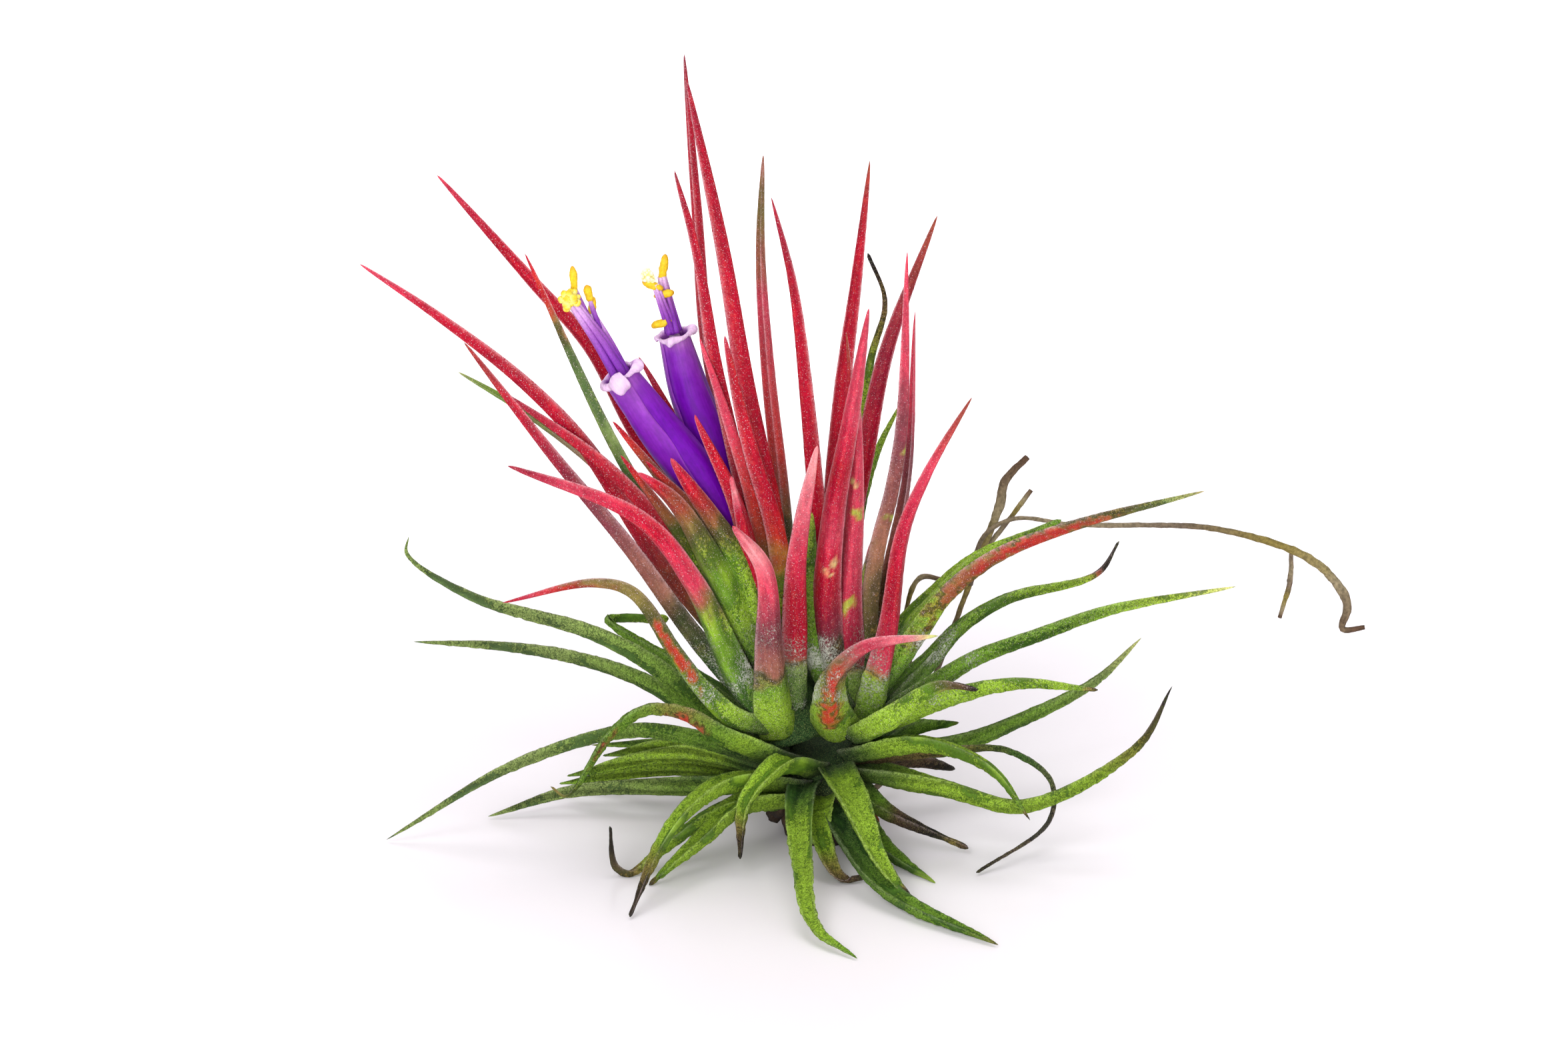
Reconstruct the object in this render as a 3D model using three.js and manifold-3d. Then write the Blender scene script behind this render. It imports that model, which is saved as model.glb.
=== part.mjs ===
// A clump of Tillandsia ionantha rubra: a short woody stem with dry roots, a whorl of
// spreading green leaves, a tall red head that leans left and holds two violet flowers,
// and an upright side head. Millimetres, +Z up, front towards -Y. The origin is the
// middle of the flat underside of the stem.
import * as THREE from "three";
import { mergeVertices } from "three/addons/utils/BufferGeometryUtils.js";
import Module from "manifold-3d";

const wasm = await Module();
wasm.setup();

// Driving dimensions.
const CLEARANCE = 0.35; // gap left between one piece and the next
const STEM_HEIGHT = 3.3;
const STEM_FOOT_RADIUS = 4;
const STEM_TOP_RADIUS = 4.7;
const SHEATH_REACH = 8; // how far up a leaf its broad sheath lasts
const TAPER_SHARE = 0.75; // share of its length over which a leaf narrows to its tip
const FACING_SHARE = 0.7; // the point of a leaf that tells which way it stands off its head
const TIP_WIDTH = 0.7;
const DEPTH_SHARE = 0.62; // depth of a leaf's section as a share of its width
const DEEPEST = 1.9;
const THINNEST = 0.65;
const CHANNEL_SHARE = 0.3; // depth of the channel as a share of the section's depth
const TWIST = THREE.MathUtils.degToRad(28); // turn of the leaves' keels towards the front
const BACK_WIDTHS = [1.7, 2.3]; // widths of the leaves at the back of a whorl
const BACK_SHEATH = 3.4;
const LOWEST = 0.3; // how near the ground the middle of a back leaf comes
const TUBE_WALL = 0.6;
const MOUTH_DEPTH = 3;
const LIPS = 3;
const FILAMENT_TAPER = 0.15; // share of its radius that a filament loses at each point
const ROOT_TAPER = 0.1; // what a root loses of its radius over its length
const STEPS_PER_SPAN = 2;
const ROUND_SIDES = 12;
const STRAND_SIDES = 6;

// The lips of a flower, row by row: rise above the mouth, reach as a share of the mouth's
// radius, and how deeply the lobes are cut there.
const LIP_ROWS = [
  [0.1, 1.1, 0.1], [0.3, 1.35, 0.4], [0.3, 1.6, 0.6], [0.9, 1.55, 0.6], [1.1, 1.2, 0.4], [0.7, 0.95, 0],
];

// The points of the plant are given as they are seen from the front and 20 degrees above:
// across, up, and how far back the point lies.
const VIEW_TILT = THREE.MathUtils.degToRad(20);
const VIEW_UP = new THREE.Vector3(0, Math.sin(VIEW_TILT), Math.cos(VIEW_TILT));
const VIEW_BACK = new THREE.Vector3(0, -Math.cos(VIEW_TILT), Math.sin(VIEW_TILT));
const AIM = { across: -4.07, up: 31.93 };
const EYE_DISTANCE = 550;
const EYE = new THREE.Vector3(AIM.across, 0, 0)
  .addScaledVector(VIEW_UP, AIM.up)
  .addScaledVector(VIEW_BACK, EYE_DISTANCE);

function sight([across, up, back]) {
  const seen = new THREE.Vector3(across, 0, 0).addScaledVector(VIEW_UP, up);
  return EYE.clone().lerp(seen, (back - EYE.y) / (seen.y - EYE.y));
}

// Each leaf: width of its blade, width of its sheath, then its points from root to tip.
const FLOWERING_LEAVES = {
  farLeft: [
    2.7, 3.6, [-5, 14, 0.5], [-17, 27.8, 0], [-25, 40, -1.2], [-31, 46.3, -2.6], [-40, 53.3, -5], [-48,
    58.7, -6.5],
  ],
  second: [2.57, 3.8, [-5, 13.5, -2], [-14.5, 28.3, -5], [-22.5, 37.5, -4], [-33, 45.3, 0]],
  paleTip: [2.2, 3.6, [-5, 13, 2.5], [-15, 26.5, 4.5], [-22, 36.2, 7], [-30, 42.7, 10], [-37.8, 47.5, 12]],
  mauve: [2.46, 4, [-5, 11, -3], [-13, 19.5, -5], [-20, 29, -5], [-28, 38.7, -3.5], [-37.2, 50.6, -2]],
  frontRed: [
    2.81, 4.4, [-5, 11.5, -4.5], [-8, 14, -6.5], [-13.5, 25.3, -8.5], [-19, 32, -10], [-32.7,
    37.8, -13],
  ],
  archedRed: [
    2.11, 3.6, [-4.6, 10.8, -3.6], [-9.5, 11.6, -6.6], [-12.8, 14.6, -7.4], [-15.5, 18.2, -8], [-20, 24.6, -8.5], [-24, 25.6, -8.5],
    [-33.2, 23.6, -8],
  ],
  tallest: [2.6, 3.6, [-4, 16, 1.5], [-7.5, 33, 3], [-11.7, 49, 4.5], [-13.1, 65, 6], [-14.4, 80.4, 8]],
  secondTall: [
    3, 3.6, [-3.5, 16.5, 0], [-4.8, 31, 0.5], [-7.8, 46, 0.5], [-10.4, 61, -0.5], [-14.1, 77.7, -2],
  ],
  thirdTall: [
    2.34, 3.4, [-4.2, 16.5, 0], [-7.5, 33, -0.5], [-10.9, 48, -1], [-13, 60, -3], [-15.4, 68.4, -5],
  ],
  lightEdge: [2.81, 3.6, [-3.3, 15, -1.5], [-4.4, 30, -2.2], [-7.4, 40, -3.2], [-10.2, 51.3, -5]],
  salmon: [2.22, 3.2, [-4.3, 17, -1], [-6.7, 32.5, -1.8], [-9.7, 42.5, -1.8], [-12.8, 51.1, -1.8]],
  behindFlower: [1.87, 3.2, [-5.5, 18, 1.5], [-11.5, 35, 5], [-17.2, 45.9, 7], [-19.1, 49.1, 8]],
  oliveTip: [2.5, 3.4, [-2.8, 15, 2.5], [-4, 33, 6], [-5.6, 48, 10], [-6.4, 60, 12.5], [-6.2, 70, 14]],
  bractRight: [2.57, 3, [-5, 17, -2.5], [-8.5, 33, -4], [-13.3, 43.1, -4.4]],
  bluntPink: [2.34, 3.2, [-4.2, 15, -3.5], [-7, 26.5, -5.8], [-9.5, 36.7, -6.5]],
  bractFront: [3.28, 3.4, [-5, 16, -3.5], [-8.6, 27.5, -6.2], [-15.8, 38.6, -7.2]],
  frontSheath: [
    3.4, 5, [-4, 10.4, -3.2], [-4.9, 13.4, -7], [-5.3, 19, -8.8], [-6, 27, -9.6], [-9.4, 31.6, -10.3],
  ],
  bractOrange: [3.51, 3.8, [-5.5, 15, -4], [-10.7, 26, -7], [-15.3, 33.8, -8], [-19.2, 37.1, -8.5]],
  bractBrown: [2.34, 3.2, [-5.5, 16.5, -3], [-11.5, 30.5, -5.8], [-18.4, 38.3, -6.5]],
  bractLeft: [2.11, 3.2, [-5.8, 15, -3], [-12.2, 26.5, -5.5], [-21, 38.9, -6.5]],
  bractFar: [2.22, 3.2, [-5.8, 16.5, -1.8], [-13, 31, -4], [-21.8, 42.4, -5]],
  longRed: [
    2.5, 3.6, [-5.2, 16, 2], [-13, 31, 5], [-19.8, 41.6, 7], [-24.3, 50, 8.2], [-30.3, 56.8, 9.6], [-40,
    67.9, 12],
  ],
  greyChannel: [1.99, 3.4, [-6, 15, -0.5], [-15, 28.5, -1.8], [-21.8, 40, -2], [-30.9, 59.8, -3.3]],
  spearhead: [3.1, 3.2, [-2.6, 13, -3.5], [-2.5, 20, -5.2], [-2.4, 28, -6.6], [-0.6, 39.9, -9]],
};

const SIDE_LEAVES = {
  tall: [2.6, 3.4, [2.5, 15, 1.5], [0.7, 30, 3.5], [1.5, 44, 5.5], [3.2, 57, 7.5], [4.8, 69.4, 10]],
  rightLean: [2.6, 3.4, [3, 15, 2.5], [2.8, 30, 6.5], [4.6, 40, 9], [6.6, 49.5, 11.5], [11.8, 63.7, 16]],
  front: [2.92, 3.6, [1.8, 13, -1.5], [0.3, 22, -3.3], [0.9, 32, -4.4], [2.8, 42.5, -6], [4.7, 54.1, -8]],
  smallTip: [1.64, 2.8, [2, 14, 0.5], [2, 35, 0], [2.6, 47.5, 0.5], [2.35, 51.7, 0.8]],
  blotched: [2.81, 3.6, [3, 12.5, -1], [2.5, 21.5, -2], [3.2, 33, -2.4], [3.7, 44.4, -3]],
  mauveUpright: [
    2.2, 3.4, [4.5, 12.5, 0], [4.9, 22, -0.5], [5.9, 29.5, 0], [7.3, 35.2, 0.5], [8.3, 42, 0.8], [8.7,
    60, 2],
  ],
  thin: [1.64, 3, [5, 13.5, 1.5], [6.9, 26.5, 4], [8.8, 37, 6], [9.5, 53.8, 9]],
  swaying: [
    2.1, 3.6, [5, 11.5, -2], [6.9, 20.5, -3.9], [8.3, 30.4, -5], [10.9, 36.9, -7], [15.4, 44.9, -10],
  ],
  leftTall: [
    2.3, 3.2, [1.5, 15.5, 1], [-0.6, 30, 1.2], [-1.9, 44, -0.6], [-3.3, 56.5, -3], [-5.4, 65.6, -5],
  ],
  greenBehind: [1.7, 2.8, [3, 14, 3.5], [3.3, 30, 10], [5.1, 38, 13.5], [8, 44.3, 16.5]],
  threadTip: [
    1.5, 2.8, [3, 13.5, 4.5], [3.3, 34, 13], [4.9, 48.6, 17.5], [6.4, 54.8, 18.8], [4.6, 59.8, 20],
  ],
  innerGreen: [2.2, 3, [2.5, 12.6, -1], [-0.2, 18, -1.8], [-1.4, 24, -2.2], [-1.2, 33, -1.8]],
  stripedSheath: [
    2.4, 5, [1.4, 10, -2.8], [0.7, 12.4, -7.2], [1.2, 15.8, -9.2], [4.5, 18.9, -10.2], [11.9,
    20.2, -11],
  ],
  rightLong: [
    2.3, 3.6, [4, 10.8, 0], [11, 14.9, -1.2], [16, 17.9, -2], [22, 20.1, -3.2], [30, 22.9, -5], [42.7,
    25.3, -8],
  ],
  blackThread: [
    2.5, 3.6, [4, 11.5, 2.5], [10.6, 17, 5.5], [14, 20.9, 7.3], [19, 24, 9], [28.4, 26.7, 12], [30.6,
    30, 13],
  ],
  redArch: [
    2.4, 3.8, [4.5, 13, -1], [9.8, 20.2, -3], [12.7, 24.2, -3.3], [17.5, 28.1, -3.5], [25.2,
    31.3, -3.8], [39.5, 35.2, -4],
  ],
  greenArch: [2.3, 3.4, [4.5, 14, 3], [8.6, 21.2, 6], [11.6, 24.6, 7.2], [15.8, 28.3, 9], [24.6, 32.2, 12]],
  deadEnd: [2.81, 3.6, [3.5, 9.8, -3], [7, 11.5, -8], [12.5, 15, -9.5], [16, 14.6, -10]],
  rightBlunt: [2.8, 3.4, [4, 10, -1.5], [12, 13.4, -4.5], [20, 15.2, -6], [28.4, 14.6, -7]],
};

const LOWER_LEAVES = {
  hookedLeft: [
    2.8, 3.8, [-4, 6.8, -1], [-9.5, 9.6, -1.5], [-13.2, 13, -2.2], [-17.5, 17, -3], [-24, 20.5, -4.5],
    [-36.5, 24.3, -6], [-43.1, 28.7, -5], [-42.9, 30.5, -5],
  ],
  levelLeft: [
    2.8, 3.8, [-4, 8.5, 1.5], [-13.8, 12.9, 5], [-19, 15.8, 6.8], [-25, 17.8, 8.6], [-33, 19.1, 11],
    [-42.4, 19.6, 14],
  ],
  folded: [2.11, 3.4, [-3, 9, 3], [-14, 16.5, 10], [-22.3, 21.9, 14], [-20.5, 22.2, 15], [-16, 22, 16]],
  archedLeft: [
    2.2, 3.8, [-3.5, 7.5, -3.5], [-10.7, 9.9, -7.4], [-14.5, 12.1, -8.8], [-18.4, 12.5, -9.6], [-22, 10, -11],
    [-26.6, 3.6, -12], [-28.2, 4.6, -12],
  ],
  longLeft: [
    2.34, 3.6, [-3.5, 7, -2], [-14, 9.8, -4], [-20, 10.4, -4.5], [-32, 6.8, -4], [-45.2, -0.9, -3],
  ],
  backLeft: [2.3, 3.4, [-3, 7, 2.5], [-13, 9, 11.5], [-24, 8.9, 20]],
  fanUpper: [2.8, 3.4, [-3.5, 6, 0.5], [-14, 8, 3.4], [-26.5, 5.7, 7.5]],
  fanTop: [2.6, 3.4, [-3.5, 6.6, 2], [-14, 8.9, 6.6], [-22.8, 7.8, 10]],
  fanMiddle: [2.8, 3.4, [-3.5, 5.5, 1.5], [-14, 6.7, 7], [-27.3, 4.9, 11.2]],
  fanLower: [2.7, 3.4, [-3, 5, 1], [-14, 4.7, 3.5], [-26, 4.1, 4.3], [-34.7, 1.5, 3.1]],
  blackTip: [
    2.8, 3.6, [-2.5, 4.8, -3], [-10, 4.8, -9.2], [-14.2, 1.9, -14], [-17.1, -2.2, -18],
    [-20, -8.9, -22.3],
  ],
  brownThread: [
    2.2, 3.2, [-2.5, 3.5, -2.5], [-11, 1.9, -8.5], [-16.3, -1.7, -11], [-20, -4.4, -11.8], [-21.6, -3.7, -12],
    [-22.1, 0.5, -12],
  ],
  broadFrontLeft: [3.5, 3.6, [-2, 3.6, -3], [-8.7, 2.4, -9], [-12.5, -0.9, -12], [-18, -5.6, -14]],
  drooping: [2.46, 3.4, [-1, 6.5, -3], [-4.5, 6.6, -8], [-7.9, 2.8, -11], [-8.6, -2.9, -11.5]],
  frontBent: [
    2.7, 3.1, [-1, 5, -2], [-2.3, 3.6, -7], [-2.2, -3.5, -18], [-0.9, -10, -27], [3.5, -13.2, -32],
  ],
  curledTip: [2.34, 3, [0, 4.5, -2], [-0.5, 0, -9.5], [1.9, -4.9, -13.5], [4.5, -4.8, -13.5]],
  frontBright: [3.28, 3.8, [1, 6.5, -3], [3.1, 2.5, -11], [5.9, -3.4, -16.5], [8.9, -7.1, -19]],
  frontDark: [3.28, 3.4, [1, 3.6, -2], [2.6, -1.1, -11], [6.8, -6.5, -19], [18.1, -11.8, -29]],
  shortRight: [2.1, 2.8, [2, 3.4, -1.5], [6.2, -1.9, -8], [11.6, -5.4, -13.5]],
  withered: [1.75, 2.6, [2.5, 5.5, -1], [6, 2.2, -5], [15, -1.8, -6.5]],
  saggingRight: [
    2.57, 3.4, [2.5, 6.5, -1.5], [13, 4.3, -6], [21, 2.6, -7.5], [32.6, 8.8, -6.5], [36.1, 15, -6],
  ],
  brightRight: [2.57, 3.4, [2.5, 8, -2], [11, 8.9, -7], [17.5, 6.2, -11], [21.4, 1.1, -12]],
  rightRising: [3, 3.6, [3, 7.6, 1.5], [14, 9.1, 7.5], [21.5, 12, 11], [28, 15.4, 13.6], [32.9, 20, 15.5]],
  dryThread: [
    1.05, 2.4, [3, 7.5, -1], [12, 8.2, -2], [19, 8.35, -3], [23.5, 5.2, -4], [23.3, 1.1, -6], [15.8, -4.3, -11.6],
  ],
  blackStub: [2.6, 2.8, [3, 6, 2], [9, 7.3, 4.5], [13.6, 6.4, 5.5]],
  darkRight: [2.8, 3.2, [3, 8, 2.5], [9, 10.6, 6.5], [14, 11.2, 8.5]],
};

// The leaves of a head face its axis, which runs from its foot along its lean. The lower
// the taper, the longer its leaves keep their width.
const HEADS = {
  flowering: { foot: sight([-3.5, 10, 0]), lean: new THREE.Vector3(-8, -1, 20).normalize(), taper: 0.5 },
  side: { foot: sight([2.8, 10, 0.5]), lean: new THREE.Vector3(1, 0.5, 20).normalize(), taper: 0.58 },
  lower: { foot: new THREE.Vector3(0, 0, 4), lean: new THREE.Vector3(0, 0, 1), taper: 0.66 },
};

// Leaves at the back of each whorl: arcs that start at a bearing from straight back, rise at
// an angle and droop by an angle over their length, each drawn from the range given.
const BACK_WHORLS = {
  flowering: { count: 7, from: [-5, 1, 14], bearing: [-30, -4], rise: [36, 58], droop: [42, 66], length: [26, 36] },
  side: { count: 6, from: [4, 1.5, 14], bearing: [-18, 6], rise: [24, 42], droop: [44, 62], length: [24, 31] },
  lower: { count: 9, from: [-1, 2, 6], bearing: [-24, 20], rise: [12, 30], droop: [36, 56], length: [22, 29] },
};

const CORES = {
  flowering: [[-3.2, 10.4, 0, 4.2], [-4.6, 15, 0, 3.8], [-8, 26, 0, 1.6]],
  side: [[4.6, 10.4, 0.5, 3], [4.3, 15, 0.5, 2.6], [4.2, 24, 0.5, 1.2]],
};
const LOWER_CORE = [[0.2, 0.6, 3.62, 4.8], [0, 0.3, 6.5, 5.4], [-0.2, 0, 9, 4.6]];

// Dry roots: radius, then points.
const ROOTS = {
  twisted: [
    0.45, [2.5, 2.6, 3], [6, 5.1, 8], [9.2, 10.5, 11.5], [13.8, 22, 15], [16.2, 28.6, 16], [18.2, 33.5, 17],
    [18.8, 36.2, 17], [21.1, 38.7, 17],
  ],
  spur: [0.4, [16.2, 28.6, 16], [19.2, 32.2, 18], [21.5, 35.3, 19]],
  long: [
    0.42, [15.2, 25.5, 15.4], [16.6, 30.5, 14.6], [19.6, 32.3, 14.5], [26, 31.7, 16], [41, 31.2, 19],
    [51, 27.7, 21.3], [54.2, 23.5, 22], [53.7, 20.9, 22], [56, 21.1, 22],
  ],
  branch: [0.35, [48.4, 28.9, 20.8], [48.3, 26, 21], [47.2, 22.1, 21]],
  arch: [0.3, [10, 13, 12.2], [8.5, 22, 13.5], [10, 26.2, 14], [12.5, 26, 14]],
};

// Flowers: tube points with radii, then filaments with radii, anthers as two ends with a
// radius, and the stigma as a point with a radius.
const FLOWERS = {
  left: {
    tube: [[-8.3, 29, -2, 1.2], [-11, 33.4, -2.3, 1.9], [-14, 37.8, -2.6, 2.35], [-16.8, 41.3, -2.7, 2.25], [-20.4, 46.2, -3, 1.75]],
    filaments: [
      [0.75, [-20.6, 46.6, -3], [-23.2, 50.8, -3.5], [-26.2, 55, -3.8]],
      [0.7, [-20.6, 46.6, -3], [-22.4, 50.4, -2.4], [-24.1, 53.6, -2.2]],
      [0.35, [-23.6, 51.6, -3.2], [-25.4, 55.4, -3.2], [-25.9, 56.6, -3.2]],
      [0.35, [-23.2, 52, -2.6], [-24.3, 55.4, -2.4]],
    ],
    anthers: [
      [0.45, [-25.8, 56, -3.2], [-25.95, 58.1, -3.2]],
      [0.5, [-24.2, 55.1, -2.4], [-24.4, 56.1, -2.4]],
      [0.45, [-24.1, 52.5, -2.1], [-23.8, 54.9, -2.1]],
    ],
    stigma: [1.2, [-26.3, 55.05, -4]],
  },
  right: {
    tube: [[-7.6, 30, 1.2, 1.2], [-9.6, 34.5, 1.4, 1.7], [-11.8, 40.2, 1.6, 2.15], [-13.8, 45.5, 1.8, 2.1], [-15.4, 51.2, 1.8, 1.6]],
    filaments: [
      [0.65, [-15.5, 51.6, 1.8], [-16, 54, 2], [-16.7, 57.4, 2.1]],
      [0.5, [-15.5, 51.6, 1.8], [-16.3, 53.6, 1.3], [-17.4, 56.6, 1]],
    ],
    anthers: [
      [0.48, [-16.7, 57, 2.1], [-16.4, 59.3, 2.1]],
      [0.42, [-18.4, 56.8, 1], [-16.9, 56.2, 1]],
      [0.42, [-17.2, 55.4, 1.3], [-15.8, 55.7, 1.3]],
      [0.45, [-17.4, 52.3, 1.2], [-16, 52.8, 1.3]],
    ],
    stigma: [0.9, [-18.2, 57.4, 1]],
  },
};

// A repeatable random draw between two bounds.
let seed = 20260;
function draw(low, high) {
  seed = (seed * 1664525 + 1013904223) % 4294967296;
  return low + ((high - low) * seed) / 4294967296;
}

function solid(positions, indices) {
  const geometry = new THREE.BufferGeometry();
  geometry.setAttribute("position", new THREE.Float32BufferAttribute(positions, 3));
  geometry.setIndex(indices);
  const merged = mergeVertices(geometry, 1e-4);
  return new wasm.Manifold(
    new wasm.Mesh({
      numProp: 3,
      vertProperties: merged.attributes.position.array,
      triVerts: new Uint32Array(merged.index.array),
    }),
  );
}

// Joins rings of points, each going round the same way, into a closed skin.
function skin(rings) {
  const sides = rings[0].length;
  const positions = rings.flat().flatMap((p) => [p.x, p.y, Math.max(p.z, 0)]);
  const indices = [];
  for (let k = 0; k + 1 < rings.length; k++) {
    for (let i = 0; i < sides; i++) {
      const a = k * sides + i;
      const b = k * sides + ((i + 1) % sides);
      indices.push(a, b, b + sides, a, b + sides, a + sides);
    }
  }
  const last = (rings.length - 1) * sides;
  for (let i = 1; i + 1 < sides; i++) {
    indices.push(0, i + 1, i, last, last + i, last + i + 1);
  }
  return solid(positions, indices);
}

function curveThrough(points) {
  return new THREE.CatmullRomCurve3(points, false, "centripetal");
}

// Direction at each of the sampled points, from its neighbours.
function directions(points) {
  return points.map((p, i) =>
    points[Math.min(i + 1, points.length - 1)].clone().sub(points[Math.max(i - 1, 0)]).normalize(),
  );
}

// A leaf: a channelled keel section along its curve, broad at the sheath, narrowing to the
// tip, its open side towards the axis of the head. The room that it needs is its own shape,
// larger by the extra all round and with no channel.
function leafAlong(points, head, wide, sheath, extra = 0) {
  const centres = curveThrough(points).getPoints((points.length - 1) * STEPS_PER_SPAN);
  const along = directions(centres);
  const runs = [0];
  for (let i = 1; i < centres.length; i++) {
    runs.push(runs[i - 1] + centres[i].distanceTo(centres[i - 1]));
  }
  const length = runs[runs.length - 1];
  centres[0].addScaledVector(along[0], -extra);
  centres[centres.length - 1].addScaledVector(along[centres.length - 1], extra);
  const outward = centres[Math.floor(centres.length * FACING_SHARE)].clone().sub(head.foot);
  outward.addScaledVector(head.lean, -outward.dot(head.lean)).normalize();
  const across = head.lean.clone().cross(outward).normalize();
  const twist = -TWIST * across.y;
  const channel = extra > 0 ? 0 : CHANNEL_SHARE;
  const rings = centres.map((centre, i) => {
    const side = across.clone().addScaledVector(along[i], -across.dot(along[i])).normalize();
    side.applyAxisAngle(along[i], twist * (1 - Math.exp(-((runs[i] / SHEATH_REACH) ** 2))));
    const face = along[i].clone().cross(side);
    const taper = Math.min(1, (1 - runs[i] / length) / TAPER_SHARE) ** head.taper;
    const broad = Math.exp(-((runs[i] / SHEATH_REACH) ** 2));
    const width = Math.max(wide * taper * (1 - broad) + sheath * broad, TIP_WIDTH) + 2 * extra;
    const depth = Math.max(Math.min(width * DEPTH_SHARE, DEEPEST), THINNEST) + 2 * extra;
    const at = (s, f) => centre.clone().addScaledVector(side, s).addScaledVector(face, f);
    return [
      at(width / 2, depth / 2),
      at(0, depth * (0.5 - channel)),
      at(-width / 2, depth / 2),
      at(0, -depth / 2),
    ];
  });
  return skin(rings);
}

// The rings of a round strand along its points, with a radius at each point.
function strandRings(points, radii, sides, stepsPerSpan, start) {
  const steps = (points.length - 1) * stepsPerSpan;
  const centres = curveThrough(points).getPoints(steps);
  const along = directions(centres);
  let side = start.clone();
  return centres.map((centre, i) => {
    side = side.clone().addScaledVector(along[i], -side.dot(along[i])).normalize();
    const face = along[i].clone().cross(side);
    const place = (i / steps) * (points.length - 1);
    const span = Math.min(Math.floor(place), points.length - 2);
    const radius = THREE.MathUtils.lerp(radii[span], radii[span + 1], place - span);
    return Array.from({ length: sides }, (_, k) => {
      const turn = (2 * Math.PI * k) / sides;
      return centre
        .clone()
        .addScaledVector(side, radius * Math.cos(turn))
        .addScaledVector(face, radius * Math.sin(turn));
    });
  });
}

function strand(points, radii, sides = STRAND_SIDES, stepsPerSpan = STEPS_PER_SPAN) {
  const start = Math.abs(points[1].x - points[0].x) < points[1].distanceTo(points[0]) * 0.9;
  const side = start ? new THREE.Vector3(1, 0, 0) : new THREE.Vector3(0, 1, 0);
  return skin(strandRings(points, radii, sides, stepsPerSpan, side));
}

// A rounded bead between two ends.
function bead(from, to, radius, sides = STRAND_SIDES) {
  const along = to.clone().sub(from);
  const middle = from.clone().lerp(to, 0.5);
  const half = along.length() / 2 + radius;
  along.normalize();
  const stations = [-1, -0.7, 0, 0.7, 1];
  const swell = [0.35, 0.85, 1, 0.85, 0.35];
  return strand(
    stations.map((s) => middle.clone().addScaledVector(along, s * half)),
    swell.map((s) => s * radius),
    sides,
    1,
  );
}

function leavesOf(table, head, extra) {
  return Object.values(table).map(([wide, sheath, ...path]) =>
    leafAlong(path.map(sight), head, wide, sheath, extra),
  );
}

// The arcs of the back of a whorl, worked out once so that both sizes of them agree.
function backArcs({ count, from, bearing, rise, droop, length }) {
  const arcs = [];
  for (let i = 0; i < count; i++) {
    const share = (i + 0.5) / count;
    const turn = THREE.MathUtils.degToRad(THREE.MathUtils.lerp(bearing[0], bearing[1], share) + draw(-2, 2));
    const heading = new THREE.Vector3(Math.sin(turn), Math.cos(turn), 0);
    const start = THREE.MathUtils.degToRad(draw(...rise));
    const fall = THREE.MathUtils.degToRad(draw(...droop));
    const step = draw(...length) / 4;
    const points = [new THREE.Vector3(...from)];
    for (let k = 0; k < 4; k++) {
      const angle = start - fall * ((k + 0.5) / 4);
      const next = points[k].clone().addScaledVector(heading, step * Math.cos(angle));
      next.z = Math.max(next.z + step * Math.sin(angle), LOWEST);
      points.push(next);
    }
    arcs.push({ points, wide: draw(...BACK_WIDTHS), sheath: BACK_SHEATH });
  }
  return arcs;
}
const BACK_ARCS = Object.fromEntries(Object.entries(BACK_WHORLS).map(([name, whorl]) => [name, backArcs(whorl)]));

function whorl(name, table, core, extra = 0) {
  const head = HEADS[name];
  const back = BACK_ARCS[name].map((arc) => leafAlong(arc.points, head, arc.wide, arc.sheath, extra));
  return wasm.Manifold.union([core, ...leavesOf(table, head, extra), ...back]);
}

// A round core along its rows of place and radius. The room that it needs is wider all
// round and starts a little lower.
function coreOf(rows, place, extra = 0) {
  const points = rows.map(([x, y, z]) => place([x, y, z]));
  points[0].z -= extra;
  return strand(
    points,
    rows.map((row) => row[3] + extra),
    ROUND_SIDES,
    1,
  );
}

// The largest of the bodies that a cut leaves.
function largest(made) {
  return made.decompose().sort((a, b) => b.volume() - a.volume())[0];
}

function tubeFrame(rows) {
  const points = rows.map(sight);
  const end = points[points.length - 1];
  const along = end.clone().sub(points[points.length - 2]).normalize();
  const side = new THREE.Vector3(0, 1, 0);
  side.addScaledVector(along, -side.dot(along)).normalize();
  return { points, end, along, side, face: along.clone().cross(side), radius: rows[rows.length - 1][3] };
}

// The tube of a flower: its wall, three lobed lips that curl out at the mouth, and the
// bore, in one skin.
function petals({ tube }) {
  const frame = tubeFrame(tube);
  const ringAt = (rise, reach, cut) =>
    Array.from({ length: ROUND_SIDES }, (_, k) => {
      const turn = (2 * Math.PI * k) / ROUND_SIDES;
      const lobed = 1 + (reach - 1) * (1 - cut * (1 - Math.cos(LIPS * turn)) * 0.5);
      return frame.end
        .clone()
        .addScaledVector(frame.along, rise)
        .addScaledVector(frame.side, frame.radius * lobed * Math.cos(turn))
        .addScaledVector(frame.face, frame.radius * lobed * Math.sin(turn));
    });
  const wall = strandRings(frame.points, tube.map((row) => row[3]), ROUND_SIDES, 1, frame.side);
  const bore = (frame.radius - TUBE_WALL) / frame.radius;
  return skin([
    ...wall,
    ...LIP_ROWS.map((row) => ringAt(...row)),
    ringAt(0, bore, 0),
    ringAt(-MOUTH_DEPTH, bore, 0),
  ]);
}

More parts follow.
